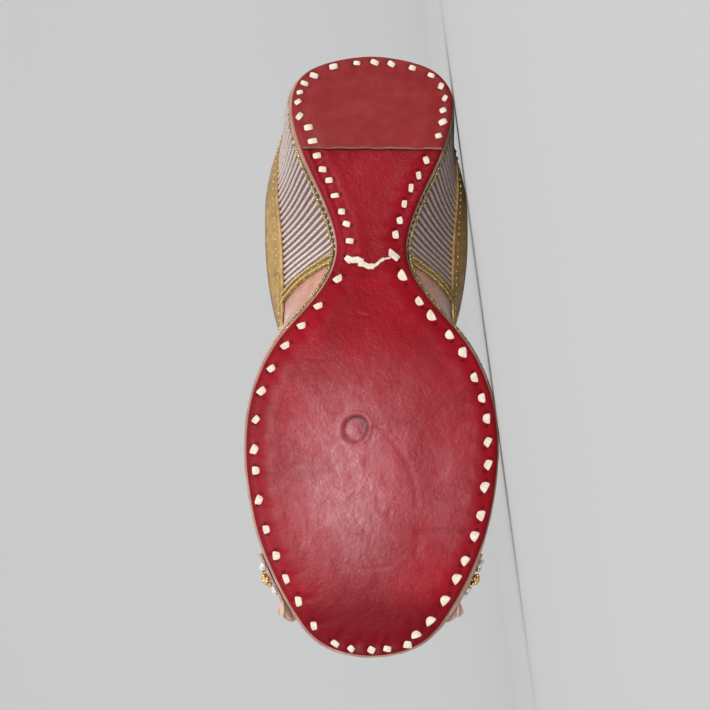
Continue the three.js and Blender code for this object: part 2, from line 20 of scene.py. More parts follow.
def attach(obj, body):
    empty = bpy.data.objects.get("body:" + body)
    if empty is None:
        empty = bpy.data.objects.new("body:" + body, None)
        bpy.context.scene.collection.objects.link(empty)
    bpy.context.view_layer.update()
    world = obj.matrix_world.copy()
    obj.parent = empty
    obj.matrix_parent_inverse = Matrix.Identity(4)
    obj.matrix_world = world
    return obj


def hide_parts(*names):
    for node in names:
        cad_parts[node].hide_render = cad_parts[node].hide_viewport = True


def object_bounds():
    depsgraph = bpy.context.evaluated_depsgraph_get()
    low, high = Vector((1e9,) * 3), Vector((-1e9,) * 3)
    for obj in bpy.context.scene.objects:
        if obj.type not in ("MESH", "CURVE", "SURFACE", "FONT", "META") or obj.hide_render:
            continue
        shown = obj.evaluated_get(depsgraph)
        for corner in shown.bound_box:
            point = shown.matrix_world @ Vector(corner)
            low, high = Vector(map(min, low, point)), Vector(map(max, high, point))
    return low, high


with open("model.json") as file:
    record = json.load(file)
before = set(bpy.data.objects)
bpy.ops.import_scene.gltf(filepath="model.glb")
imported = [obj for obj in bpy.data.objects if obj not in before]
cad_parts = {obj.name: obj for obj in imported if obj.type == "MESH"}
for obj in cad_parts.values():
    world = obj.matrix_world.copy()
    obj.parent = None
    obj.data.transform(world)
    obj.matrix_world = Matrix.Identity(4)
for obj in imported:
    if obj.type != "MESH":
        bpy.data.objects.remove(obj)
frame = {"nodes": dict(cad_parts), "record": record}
cad_low, cad_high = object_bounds()
bpy.ops.object.select_all(action="DESELECT")

HEEL_REST_Y = 15.0
mounts = {mount["name"]: mount for mount in frame["record"]["mounts"]}
heel_rest = Vector(mounts["heel_rest"]["pos_m"])
forefoot_rest = Vector(mounts["forefoot_rest"]["pos_m"])
toe_way = (forefoot_rest - heel_rest).normalized()
up_way = -Vector(mounts["heel_rest"]["axis"]).normalized()
side_way = toe_way.cross(up_way).normalized()
shoe_origin = heel_rest - toe_way * HEEL_REST_Y * 0.001
turn = Matrix((side_way, toe_way, up_way)).transposed().to_4x4()
SHOE_TO_ROW = Matrix.Translation(shoe_origin) @ turn @ Matrix.Scale(0.001, 4)
ROW_TO_SHOE = SHOE_TO_ROW.inverted()
print("shoe origin in the row", [round(c, 5) for c in shoe_origin])

# %% [markdown]
# ## The shape that everything is laid on
#
# Cords, beads and stitches lie on the upper, so their places are worked out on the same
# surface that the solid has. The sole's outline and heights are read from the outsole's
# node. A section of the upper is one curve from the sole's edge to the topline, with the
# sizes that the part's source gives it. A place runs round the edge from 0 at the back of
# the heel, through 1 at the toe, to 2 at the heel again.

# %% Sizes shared with the solids
FIT_GAP = 0.3
RAND_THICKNESS = 1.2
UPPER_WALL = 1.8
UPPER_INSET = 0.6
COLLAR_WIDTH = 63.4
COLLAR_BACK = 3.0
THROAT_PLACE = 108.0
HEEL_HEIGHT = 37.1
SIDE_HEIGHT = 27.3
THROAT_HEIGHT = 36.8
BINDING_OUT = 1.2
SEAM_FOOT_PLACE = 0.352
SEAM_HEAD_PLACE = 0.424
GARLAND_Y = 165.0
GARLAND_WIDTH = 15.0
GARLAND_THICKNESS = 0.9

TOPLINE_COLUMNS = ("at", "along", "half", "heel_rise", "throat_rise")
TOPLINE_ROWS = (
    (0.0, 0.0, 0.0, 1.0, 0.0),
    (0.05, 0.012, 0.29, 0.99, 0.0),
    (0.1, 0.062, 0.585, 0.92, 0.0),
    (0.15, 0.148, 0.81, 0.74, 0.0),
    (0.2, 0.258, 0.94, 0.42, 0.0),
    (0.26, 0.388, 1.0, 0.15, 0.0),
    (0.33, 0.524, 0.995, 0.0, 0.0),
    (0.38, 0.636, 0.96, 0.0, 0.05),
    (0.44, 0.742, 0.895, 0.0, 0.2),
    (0.51, 0.838, 0.785, 0.0, 0.48),
    (0.58, 0.909, 0.645, 0.0, 0.73),
    (0.67, 0.96, 0.47, 0.0, 0.89),
    (0.77, 0.988, 0.3, 0.0, 0.97),
    (0.88, 0.998, 0.145, 0.0, 1.0),
    (1.0, 1.0, 0.0, 0.0, 1.0),
)
SECTION_COLUMNS = ("at", "low_out", "low_up", "top_reach", "top_drop")
SECTION_ROWS = (
    (0.0, 0.1, 0.35, 0.0, 0.35),
    (0.05, 0.1, 0.35, 0.0, 0.35),
    (0.1, 0.1, 0.34, 0.06, 0.35),
    (0.15, 0.11, 0.33, 0.15, 0.35),
    (0.2, 0.15, 0.33, 0.26, 0.34),
    (0.26, 0.23, 0.33, 0.32, 0.33),
    (0.33, 0.26, 0.32, 0.31, 0.33),
    (0.38, 0.25, 0.32, 0.27, 0.33),
    (0.44, 0.21, 0.32, 0.25, 0.32),
    (0.51, 0.2, 0.35, 0.26, 0.27),
    (0.58, 0.18, 0.39, 0.36, 0.2),
    (0.67, 0.17, 0.38, 0.46, 0.14),
    (0.77, 0.22, 0.36, 0.46, 0.14),
    (0.88, 0.23, 0.36, 0.45, 0.14),
    (1.0, 0.12, 0.36, 0.45, 0.16),
)


def column_curve(places, values, mirror_sign=1):
    """Smooth curve through one column of a table that never overshoots a row."""
    x = [2 * places[0] - places[1], *places, 2 * places[-1] - places[-2]]
    y = [mirror_sign * values[1], *values, mirror_sign * values[-2]]
    after = [(y[i + 1] - y[i]) / (x[i + 1] - x[i]) for i in range(len(x) - 1)]
    slopes = [0.0]
    for i in range(1, len(x) - 1):
        steep = after[i - 1] * after[i] > 0
        slopes.append(2 * after[i - 1] * after[i] / (after[i - 1] + after[i]) if steep else 0.0)

    def value(place):
        held = min(max(place, places[0]), places[-1])
        i = 1
        while i < len(places) - 1 and x[i + 1] < held:
            i += 1
        width = x[i + 1] - x[i]
        u = (held - x[i]) / width
        leave = u * (1 - u) ** 2 * slopes[i] * width
        arrive = u * u * (1 - u) * slopes[i + 1] * width
        return y[i] + u * u * (3 - 2 * u) * (y[i + 1] - y[i]) + leave - arrive

    return value


def table_curves(columns, rows):
    places = [row[0] for row in rows]
    curves = {}
    for k, name in enumerate(columns[1:], start=1):
        sign = -1 if name == "half" else 1
        curves[name] = column_curve(places, [row[k] for row in rows], sign)
    return curves


topline = table_curves(TOPLINE_COLUMNS, TOPLINE_ROWS)
section = table_curves(SECTION_COLUMNS, SECTION_ROWS)
print("tables of", len(TOPLINE_ROWS), "and", len(SECTION_ROWS), "rows")

# %% The sole's outline and heights, read from the outsole's node
# Vertices whose Y differs by less than this, in mm, belong to one ring
RING_DEPTH = 0.02


def sole_stations():
    """One station for each ring of the outsole: y, half width and height of its top."""
    points = sorted((ROW_TO_SHOE @ v.co for v in frame["nodes"]["outsole"].data.vertices),
                    key=lambda p: p.y)
    rings = []
    for p in points:
        if not rings or p.y - rings[-1][-1].y > RING_DEPTH:
            rings.append([p])
        else:
            rings[-1].append(p)
    return [(ring[0].y, max(p.x for p in ring), max(p.z for p in ring)) for ring in rings]


stations = sole_stations()
station_places = [i / (len(stations) - 1) for i in range(len(stations))]
edge_y = column_curve(station_places, [s[0] for s in stations])
edge_half = column_curve(station_places, [s[1] for s in stations], -1)
sole_top = column_curve([s[0] for s in stations], [s[2] for s in stations])
print("outline of", len(stations), "stations, ball", round(2 * max(s[1] for s in stations), 1))


def edge_point(place, outwards=0.0):
    """Point on the sole's outline, moved outwards in the plane of the sole."""
    place = place % 2
    share = min(place, 2 - place)
    side = 1 if place <= 1 else -1
    step = 0.002
    low, high = max(share - step, 0), min(share + step, 1)
    ahead = Vector((edge_half(high) - edge_half(low), edge_y(high) - edge_y(low)))
    if share in (0, 1):
        ahead = Vector((1 if share == 0 else -1, 0))
    ahead.normalize()
    x = edge_half(share) + outwards * ahead.y
    y = edge_y(share) - outwards * ahead.x
    return Vector((side * max(x, 0), y, 0))


def upper_foot(y):
    return sole_top(y) + 2 * FIT_GAP + RAND_THICKNESS


def upper_section(place):
    """The four control points of the upper's section at a place round the edge."""
    place = place % 2
    share = min(place, 2 - place)
    side = 1 if place <= 1 else -1
    foot = edge_point(place, -UPPER_INSET)
    outward = (edge_point(place, 1) - edge_point(place, 0)).normalized()
    foot.z = upper_foot(foot.y)
    top_y = COLLAR_BACK + topline["along"](share) * (THROAT_PLACE - COLLAR_BACK)
    rise = SIDE_HEIGHT + topline["heel_rise"](share) * (HEEL_HEIGHT - SIDE_HEIGHT)
    rise += topline["throat_rise"](share) * (THROAT_HEIGHT - SIDE_HEIGHT)
    top = Vector((side * topline["half"](share) * COLLAR_WIDTH / 2, top_y, upper_foot(top_y) + rise))
    height = top.z - foot.z
    low = foot + outward * section["low_out"](share) * height
    low.z += section["low_up"](share) * height
    high = top.lerp(Vector((foot.x, foot.y, top.z)), section["top_reach"](share))
    high.z -= section["top_drop"](share) * height
    return foot, low, high, top


def on_section(points, up):
    foot, low, high, top = points
    down = 1 - up
    return (foot * down ** 3 + low * 3 * down ** 2 * up
            + high * 3 * down * up ** 2 + top * up ** 3)


def upper_at(place, up, outwards=0.0):
    """Point on the upper's outer surface, and the surface's normal there."""
    step = 0.004
    points = upper_section(place)
    spot = on_section(points, up)
    ahead = on_section(upper_section(place + step), up) - on_section(upper_section(place - step), up)
    rise = on_section(points, min(up + step, 1)) - on_section(points, max(up - step, 0))
    normal = ahead.cross(rise).normalized()
    return spot + normal * outwards, normal


def height_below_topline(place, depth):
    """How high on the section a line lies that runs at a depth under the topline."""
    points = upper_section(place)
    up, run, step = 1.0, 0.0, 0.01
    while run < depth and up > step:
        run += (on_section(points, up) - on_section(points, up - step)).length
        up -= step
    return up


def spread(first, last, steps):
    return [first + (last - first) * i / steps for i in range(steps + 1)]


def turning_value(low, high, is_before):
    """Where between two values a test turns from true to false."""
    for _ in range(20):
        half = (low + high) / 2
        if is_before(half):
            low = half
        else:
            high = half
    return (low + high) / 2


def bell(value, middle, half_width, power=2):
    """A smooth hump of height 1. A higher power makes its top flatter and its sides steeper."""
    return np.exp(-((value - middle) / half_width) ** power)


def step_up(value, middle, softness):
    """Goes smoothly from 0 before the middle to 1 behind it."""
    return 1 / (1 + np.exp(-(value - middle) / softness))


def mirrored(vector, side):
    return Vector((side * vector.x, vector.y, vector.z))


print("throat", [round(c, 1) for c in upper_at(1.0, 1.0)[0]])

# %% [markdown]
# ## Helpers for making pieces
#
# A copy of a CAD node is merged first, because its triangles are loose. Cords are curves
# with a round bevel that are turned into meshes. What repeats is modelled once and then
# stamped at each of its places into one mesh.

# %% Helpers


def activate(obj):
    bpy.ops.object.select_all(action="DESELECT")
    obj.select_set(True)
    bpy.context.view_layer.objects.active = obj


def copy_of_node(node, name):
    """A merged copy of a CAD node in the shoe's millimetres, with quads for triangles."""
    source = frame["nodes"][node]
    mesh = source.data.copy()
    mesh.materials.clear()
    obj = bpy.data.objects.new(name, mesh)
    bpy.context.scene.collection.objects.link(obj)
    mesh.transform(ROW_TO_SHOE)
    form = bmesh.new()
    form.from_mesh(mesh)
    bmesh.ops.remove_doubles(form, verts=form.verts, dist=0.003)
    bmesh.ops.join_triangles(form, faces=form.faces, angle_face_threshold=math.radians(35),
                             angle_shape_threshold=math.radians(60))
    form.to_mesh(mesh)
    form.free()
    return obj


def hold_edges(obj, least_angle):
    """Creases the edges that turn by more than an angle, so that subdivision keeps them."""
    form = bmesh.new()
    form.from_mesh(obj.data)
    layer = form.edges.layers.float.get("crease_edge") or form.edges.layers.float.new("crease_edge")
    for edge in form.edges:
        if len(edge.link_faces) == 2 and edge.calc_face_angle() > math.radians(least_angle):
            edge[layer] = 1.0
    form.to_mesh(obj.data)
    form.free()


def subdivide(obj, levels):
    modifier = obj.modifiers.new("smooth", "SUBSURF")
    modifier.levels = modifier.render_levels = levels
    activate(obj)
    bpy.ops.object.modifier_apply(modifier=modifier.name)


def refine_underside(obj, wanted, cuts):
    """Cuts the faces that look to the ground, and that wanted(centres) picks, into smaller ones."""
    form = bmesh.new()
    form.from_mesh(obj.data)
    form.normal_update()
    centres = np.array([f.calc_center_median()[:] for f in form.faces])
    faces = [f for f, pick in zip(form.faces, wanted(centres)) if pick and f.normal.z < -0.5]
    edges = list({edge for f in faces for edge in f.edges})
    bmesh.ops.subdivide_edges(form, edges=edges, cuts=cuts, use_grid_fill=True)
    form.to_mesh(obj.data)
    form.free()


def cords(name, paths, radius, bevel_steps=1):
    """Round cords along lists of points, as one mesh."""
    curve = bpy.data.curves.new(name, "CURVE")
    curve.dimensions = "3D"
    curve.bevel_depth = radius
    curve.bevel_resolution = bevel_steps
    curve.use_fill_caps = True
    for path in paths:
        spline = curve.splines.new("POLY")
        spline.points.add(len(path) - 1)
        for point, spot in zip(spline.points, path):
            point.co = (*spot, 1.0)
    obj = bpy.data.objects.new(name, curve)
    bpy.context.scene.collection.objects.link(obj)
    activate(obj)
    bpy.ops.object.convert(target="MESH")
    return bpy.context.view_layer.objects.active


def evenly_along(path, step_count):
    """Distance, spot, normal and direction at even steps along a path of spots and normals.

    step_count(length) says how many steps a path of that length gets.
    """
    run = [0.0]
    for (a, _), (b, _) in zip(path, path[1:]):
        run.append(run[-1] + (b - a).length)
    k = 0
    for target in spread(0, run[-1], step_count(run[-1])):
        while k < len(run) - 2 and run[k + 1] < target:
            k += 1
        part = (target - run[k]) / (run[k + 1] - run[k])
        spot = path[k][0].lerp(path[k + 1][0], part)
        normal = path[k][1].lerp(path[k + 1][1], part).normalized()
        yield target, spot, normal, (path[k + 1][0] - path[k][0]).normalized()


def twisted(path, radius, pitch, steps_per_turn=7):
    """The strands of a two-ply cord that winds along a path with its surface normals."""
    strands = [[], []]
    steps = evenly_along(path, lambda length: max(2, int(length / pitch * steps_per_turn)))
    for run, spot, normal, along in steps:
        across = along.cross(normal).normalized()
        for strand, half_turn in zip(strands, (0, math.pi)):
            angle = run / pitch * 2 * math.pi + half_turn
            strand.append(spot + (across * math.cos(angle) + normal * math.sin(angle)) * radius)
    return strands


def stamp_copies(name, model, placings):
    """One mesh that holds a copy of the model at each placing, with the model removed."""
    count = len(model.data.vertices)
    base = np.empty(count * 3)
    model.data.vertices.foreach_get("co", base)
    base = base.reshape(-1, 3)
    faces = [tuple(p.vertices) for p in model.data.polygons]
    spots, all_faces = [], []
    for i, matrix in enumerate(np.array(m) for m in placings):
        spots.append(base @ matrix[:3, :3].T + matrix[:3, 3])
        all_faces += [tuple(i * count + v for v in face) for face in faces]
    mesh = bpy.data.meshes.new(name)
    mesh.from_pydata(np.concatenate(spots).tolist(), [], all_faces)
    obj = bpy.data.objects.new(name, mesh)
    bpy.context.scene.collection.objects.link(obj)
    bpy.data.objects.remove(model)
    return obj


def placing(spot, normal, along, size=(1, 1, 1)):
    """Where a stamped copy goes: its Z on the normal and its X along a direction."""
    z = normal.normalized()
    x = (along - z * along.dot(z)).normalized()
    y = z.cross(x)
    matrix = Matrix((x, y, z)).transposed().to_4x4() @ Matrix.Diagonal((*size, 1))
    matrix.translation = spot
    return matrix


def finish_piece(obj, material, stands_for=(), smooth=True):
    """Turns a piece into the frame's metres, gives it its finish and lets it ride."""
    obj.data.transform(SHOE_TO_ROW)
    obj.data.materials.clear()
    obj.data.materials.append(material)
    obj.data.polygons.foreach_set("use_smooth", [smooth] * len(obj.data.polygons))
    obj.data.update()
    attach(obj, "root")
    if stands_for:
        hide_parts(*stands_for)
    triangles = sum(len(p.vertices) - 2 for p in obj.data.polygons)
    print(obj.name, triangles, "triangles")
    return obj


# %% [markdown]
# ## Finishes
#
# Every material reads Object coordinates, which a Mapping node turns into the shoe's own
# millimetres, so that a grain of 1 mm is a grain of 1 mm on every piece. Leather is a
# smooth colour with slow stains, a fine grain in its bump and a gloss that breaks up.
# Metal thread is a metallic colour with a fast sparkle.

# %% Helpers for materials
turn_back = ROW_TO_SHOE.to_3x3().normalized().to_euler()
shift_back = ROW_TO_SHOE.to_translation()


class Finish:
    """A material with its main shader, and short ways to add noise, ramps and bumps."""

    def __init__(self, name, roughness, metallic=0.0, **sockets):
        self.material = bpy.data.materials.new(name)
        self.material.use_nodes = True
        self.tree = self.material.node_tree
        self.shader = self.tree.nodes["Principled BSDF"]
        self.shader.inputs["Roughness"].default_value = roughness
        self.shader.inputs["Metallic"].default_value = metallic
        for socket, value in sockets.items():
            self.shader.inputs[socket.replace("_", " ")].default_value = value
        coordinates = self.tree.nodes.new("ShaderNodeTexCoord")
        mapping = self.tree.nodes.new("ShaderNodeMapping")
        mapping.inputs["Location"].default_value = shift_back
        mapping.inputs["Rotation"].default_value = turn_back
        mapping.inputs["Scale"].default_value = (1000, 1000, 1000)
        self.link(coordinates.outputs["Object"], mapping.inputs["Vector"])
        self.millimetres = mapping.outputs["Vector"]
        self.height = None

    def link(self, a, b):
        self.tree.links.new(a, b)

    def noise(self, scale, detail=3.0, roughness=0.5, distortion=0.0, stretch=None):
        node = self.tree.nodes.new("ShaderNodeTexNoise")
        node.inputs["Scale"].default_value = scale
        node.inputs["Detail"].default_value = detail
        node.inputs["Roughness"].default_value = roughness
        node.inputs["Distortion"].default_value = distortion
        self.link(self.stretched(stretch), node.inputs["Vector"])
        return node.outputs["Fac"]

    def cells(self, scale, feature="F1", output="Distance", randomness=1.0, stretch=None):
        node = self.tree.nodes.new("ShaderNodeTexVoronoi")
        node.feature = feature
        node.inputs["Scale"].default_value = scale
        node.inputs["Randomness"].default_value = randomness
        self.link(self.stretched(stretch), node.inputs["Vector"])
        return node.outputs[output]

    def stretched(self, stretch):
        if stretch is None:
            return self.millimetres
        mapping = self.tree.nodes.new("ShaderNodeMapping")
        mapping.inputs["Scale"].default_value = stretch
        self.link(self.millimetres, mapping.inputs["Vector"])
        return mapping.outputs["Vector"]

    def attribute(self, name):
        node = self.tree.nodes.new("ShaderNodeAttribute")
        node.attribute_name = name
        return node.outputs["Fac"]

    def ramp(self, value, *stops):
        """Colours or greys at positions from 0 to 1."""
        node = self.tree.nodes.new("ShaderNodeValToRGB")
        ramp = node.color_ramp
        while len(ramp.elements) < len(stops):
            ramp.elements.new(0.5)
        for element, (position, colour) in zip(ramp.elements, stops):
            element.position = position
            grey = isinstance(colour, (int, float))
            element.color = (colour, colour, colour, 1) if grey else (*colour, 1)
        self.link(value, node.inputs["Fac"])
        return node.outputs["Color"]

    def mix(self, share, first, second, blend="MIX"):
        node = self.tree.nodes.new("ShaderNodeMix")
        node.data_type = "RGBA"
        node.blend_type = blend
        for value, socket in ((share, node.inputs[0]), (first, node.inputs[6]),
                              (second, node.inputs[7])):
            if isinstance(value, (int, float)):
                socket.default_value = value
            elif isinstance(value, tuple):
                socket.default_value = (*value, 1)
            else:
                self.link(value, socket)
        return node.outputs[2]

    def colour(self, value):
        self.link(value, self.shader.inputs["Base Color"])

    def gloss(self, value):
        self.link(value, self.shader.inputs["Roughness"])

    def bump(self, value, distance_mm, strength=1.0):
        """Adds a layer of relief on top of the layers added before."""
        node = self.tree.nodes.new("ShaderNodeBump")
        node.inputs["Distance"].default_value = distance_mm * 0.001
        node.inputs["Strength"].default_value = strength
        self.link(value, node.inputs["Height"])
        if self.height is not None:
            self.link(self.height, node.inputs["Normal"])
        self.height = node.outputs["Normal"]
        self.link(self.height, self.shader.inputs["Normal"])


# %% Leathers


def make_sole_leather():
    """Polished red leather: slow stains, a fine grain, painted shade in the dents, and a middle where
    the polish has gone, shinier, with a painted pale sheen.
    """
    finish = Finish("sole_leather", 0.4)
    stains = finish.noise(0.035, 4.0, 0.6, 0.6)
    red = finish.ramp(stains, (0.3, (0.205, 0.0016, 0.006)), (0.52, (0.27, 0.0025, 0.010)),
                      (0.75, (0.33, 0.0045, 0.015)))
    grain = finish.noise(1.6, 5.0, 0.65)
    red = finish.mix(0.25, red, finish.ramp(grain, (0.35, 0.35), (0.65, 1.0)), "MULTIPLY")
    streaks = finish.ramp(finish.noise(0.12, 6.0, 0.72, 1.2, stretch=(1.4, 0.7, 1)),
                          (0.32, 0.35), (0.62, 1.0))
    wear_and_sheen = finish.mix(1.0, finish.attribute("rubbed_polish_and_sheen"), streaks, "MULTIPLY")
    # Pale pink sheen painted into the colour where the polish has gone, over the real wear
    wear_and_sheen_pink = (0.40, 0.105, 0.125)
    red = finish.mix(wear_and_sheen, red, wear_and_sheen_pink)
    # Painted shade in the dents, creases, along the rim and behind the toe
    shade_share = finish.ramp(finish.attribute("painted_shade"), (0.15, 0.0), (0.9, 0.85))
    shade_red = (0.035, 0.002, 0.004)
    finish.colour(finish.mix(shade_share, red, shade_red))
    shine = finish.ramp(wear_and_sheen, (0.0, 0.10), (0.6, 0.5))
    finish.link(shine, finish.shader.inputs["Specular IOR Level"])
    finish.gloss(finish.ramp(finish.noise(0.12, 5.0, 0.7, 0.8), (0.3, 0.3), (0.7, 0.48)))
    finish.bump(finish.noise(0.09, 3.0, 0.5, 0.4), 0.9, 0.4)
    finish.bump(finish.noise(0.45, 4.0, 0.6, 0.8), 0.22, 0.5)
    finish.bump(finish.cells(0.9, "SMOOTH_F1"), 0.12, 0.5)
    finish.bump(finish.cells(2.0, "F1"), 0.05, 0.6)
    finish.bump(grain, 0.045, 0.6)
    return finish.material


def make_heel_leather():
    """Unpolished red leather with brown patches of wear."""
    finish = Finish("heel_leather", 0.6, Specular_IOR_Level=0.25)
    stains = finish.noise(0.05, 4.0, 0.6, 1.0, stretch=(0.5, 1.4, 1))
    red = finish.ramp(stains, (0.28, (0.19, 0.005, 0.006)), (0.5, (0.245, 0.008, 0.010)),
                      (0.72, (0.245, 0.026, 0.018)))
    grain = finish.noise(2.2, 5.0, 0.7)
    red = finish.mix(0.3, red, finish.ramp(grain, (0.35, 0.3), (0.65, 1.0)), "MULTIPLY")
    # Painted shade round the stitches
    shade_share = finish.ramp(finish.attribute("painted_shade"), (0.15, 0.0), (0.9, 0.85))
    shade_brown = (0.035, 0.006, 0.004)
    finish.colour(finish.mix(shade_share, red, shade_brown))
    finish.gloss(finish.ramp(finish.noise(0.3, 4.0), (0.3, 0.52), (0.7, 0.7)))
    finish.bump(grain, 0.08, 0.5)
    return finish.material


def make_plain_leather(name, dark, light, roughness=0.7, grain_mm=0.08):
    finish = Finish(name, roughness)
    tone = finish.ramp(finish.noise(0.15, 4.0, 0.6), (0.3, dark), (0.7, light))
    grain = finish.noise(2.5, 5.0, 0.7)
    finish.colour(finish.mix(0.3, tone, finish.ramp(grain, (0.3, 0.35), (0.7, 1.0)), "MULTIPLY"))
    finish.bump(grain, grain_mm, 0.6)
    return finish.material


def make_gold_leather():
    """Tan leather under a thin gold foil that shows wear."""
    finish = Finish("gold_leather", 0.42, 0.35)
    tone = finish.ramp(finish.noise(0.35, 5.0, 0.65), (0.3, (0.25, 0.145, 0.045)),
                       (0.55, (0.40, 0.245, 0.085)), (0.75, (0.52, 0.35, 0.15)))
    finish.colour(tone)
    finish.gloss(finish.ramp(finish.noise(0.8, 4.0), (0.35, 0.32), (0.7, 0.55)))
    finish.bump(finish.cells(2.4, "F1"), 0.06, 0.5)
    return finish.material


# %% Cloths, threads, metal and glass


def make_vamp_cloth():
    """Salmon cloth with a crackled sheen, and gold glitter that thickens near seam and sole."""
    finish = Finish("vamp_cloth", 0.62, Sheen_Weight=0.35, Sheen_Roughness=0.4)
    tone = finish.ramp(finish.noise(0.22, 5.0, 0.65, 0.6), (0.3, (0.45, 0.19, 0.145)),
                       (0.7, (0.62, 0.31, 0.235)))
    weave = finish.cells(2.6, "DISTANCE_TO_EDGE", randomness=0.7)
    tone = finish.mix(0.35, tone, finish.ramp(weave, (0.0, 0.45), (0.16, 1.0)), "MULTIPLY")
    fleck = finish.cells(1.9, "F1", "Color")
    chance = finish.ramp(fleck, (0.70, 0.0), (0.74, 1.0))
    near_edge = finish.ramp(finish.attribute("trim"), (0.05, 0.12), (1.0, 1.0))
    glitter = finish.mix(1.0, chance, near_edge, "MULTIPLY")
    glitter_gold = (0.80, 0.58, 0.24)
    finish.colour(finish.mix(glitter, tone, glitter_gold))
    finish.link(glitter, finish.shader.inputs["Metallic"])
    finish.gloss(finish.ramp(glitter, (0.0, 0.62), (1.0, 0.28)))
    finish.bump(weave, 0.08, 0.5)
    finish.bump(finish.noise(0.5, 4.0, 0.6), 0.25, 0.35)
    return finish.material


def make_zari_cloth():
    finish = Finish("zari_cloth", 0.55, 0.25)
    tone = finish.ramp(finish.noise(0.8, 4.0, 0.6), (0.3, (0.115, 0.068, 0.062)),
                       (0.7, (0.215, 0.135, 0.12)))
    finish.colour(tone)
    finish.bump(finish.noise(3.0, 4.0, 0.7), 0.1, 0.6)
    return finish.material


def make_metal_thread(name, dark, mid, light, roughness, metallic, wind=5.0):
    """Flat metal strip wound round a thread: fine rings with a sparkle."""
    finish = Finish(name, roughness, metallic)
    sparkle = finish.noise(3.2, 4.0, 0.75)
    tone = finish.ramp(sparkle, (0.32, dark), (0.5, mid), (0.68, light))
    finish.colour(tone)
    finish.gloss(finish.ramp(finish.noise(1.4, 4.0), (0.3, roughness * 0.7), (0.7, roughness * 1.4)))
    finish.bump(finish.cells(wind, "F1", stretch=(1, 0.5, 1.6)), 0.09, 0.6)
    return finish.material


def make_glitter():
    """Olive gold braid: a dull ground with single bright flakes that stand at odd angles."""
    finish = Finish("gold_glitter", 0.4, 0.6)
    flakes = finish.cells(2.3, "F1", "Color")
    tone = finish.ramp(flakes, (0.25, (0.20, 0.145, 0.05)), (0.6, (0.42, 0.31, 0.12)),
                       (0.8, (0.85, 0.72, 0.40)))
    finish.colour(tone)
    finish.gloss(finish.ramp(flakes, (0.3, 0.55), (0.8, 0.2)))
    finish.bump(flakes, 0.22, 0.8)
    return finish.material


def make_bead_metal():
    finish = Finish("gold_bead", 0.2, 1.0)
    tone = finish.ramp(finish.noise(0.7, 3.0), (0.3, (0.62, 0.38, 0.12)), (0.7, (0.88, 0.62, 0.26)))
    finish.colour(tone)
    finish.bump(finish.noise(2.0, 3.0), 0.05, 0.4)
    return finish.material


def make_petal_cloth():
    finish = Finish("petal_cloth", 0.78, Sheen_Weight=0.3, Sheen_Roughness=0.5)
    tone = finish.ramp(finish.noise(0.3, 4.0, 0.6), (0.3, (0.47, 0.28, 0.22)),
                       (0.7, (0.66, 0.46, 0.37)))
    finish.colour(tone)
    finish.bump(finish.cells(3.2, "F1", randomness=0.4), 0.12, 0.6)
    return finish.material


def make_crystal():
    finish = Finish("crystal", 0.05, IOR=1.6, Transmission_Weight=0.35, Coat_Weight=0.6)
    finish.colour(finish.ramp(finish.noise(0.4, 2.0), (0.4, (0.82, 0.78, 0.84)),
                              (0.6, (0.98, 0.96, 0.95))))
    return finish.material


def make_white_thread():
    """Waxed cotton: cream, with fibres, darker in the hollows between them."""
    finish = Finish("white_thread", 0.6)
    tone = finish.ramp(finish.noise(0.6, 4.0, 0.65), (0.3, (0.62, 0.50, 0.38)),
                       (0.6, (0.83, 0.75, 0.64)))
    fibres = finish.noise(3.5, 4.0, 0.7, stretch=(0.5, 1.6, 1))
    finish.colour(finish.mix(0.35, tone, finish.ramp(fibres, (0.35, 0.45), (0.6, 1.0)), "MULTIPLY"))
    finish.bump(fibres, 0.16, 0.8)
    return finish.material


sole_leather = make_sole_leather()
heel_leather = make_heel_leather()
rand_leather = make_plain_leather("rand_leather", (0.30, 0.165, 0.12), (0.50, 0.31, 0.235), 0.8, 0.16)
raw_edge = make_plain_leather("raw_edge", (0.13, 0.055, 0.035), (0.30, 0.16, 0.10), 0.8, 0.2)
insole_leather = make_plain_leather("insole_leather", (0.44, 0.27, 0.17), (0.60, 0.41, 0.28), 0.62)
lining_leather = make_plain_leather("lining_leather", (0.50, 0.33, 0.23), (0.64, 0.46, 0.33), 0.72)
gold_leather = make_gold_leather()
vamp_cloth = make_vamp_cloth()
zari_cloth = make_zari_cloth()
zari_thread = make_metal_thread("zari_thread", (0.36, 0.26, 0.24), (0.68, 0.55, 0.52),
                                (0.97, 0.90, 0.86), 0.33, 0.6)
gold_thread = make_metal_thread("gold_thread", (0.22, 0.15, 0.045), (0.50, 0.36, 0.13),
                                (0.85, 0.68, 0.34), 0.36, 0.75)
gold_glitter = make_glitter()
gold_bead = make_bead_metal()
petal_cloth = make_petal_cloth()
crystal = make_crystal()
white_thread = make_white_thread()
print("materials", len(bpy.data.materials))

# %% [markdown]
# ## The camera
#
# The photograph looks at the sole from about a metre away, a little from the toe's side.
# The shoe lies on its side, so that view comes from close to the floor. The camera is
# rolled until the heel is at the top, and it stops just above the floor.

# %% Camera
CAMERA_DISTANCE = 1.0
CAMERA_TOE_TILT = math.radians(4.5)
CAMERA_HEIGHT = 0.009
SHOE_SHARE_OF_FRAME = 0.85
SENSOR = 36.0


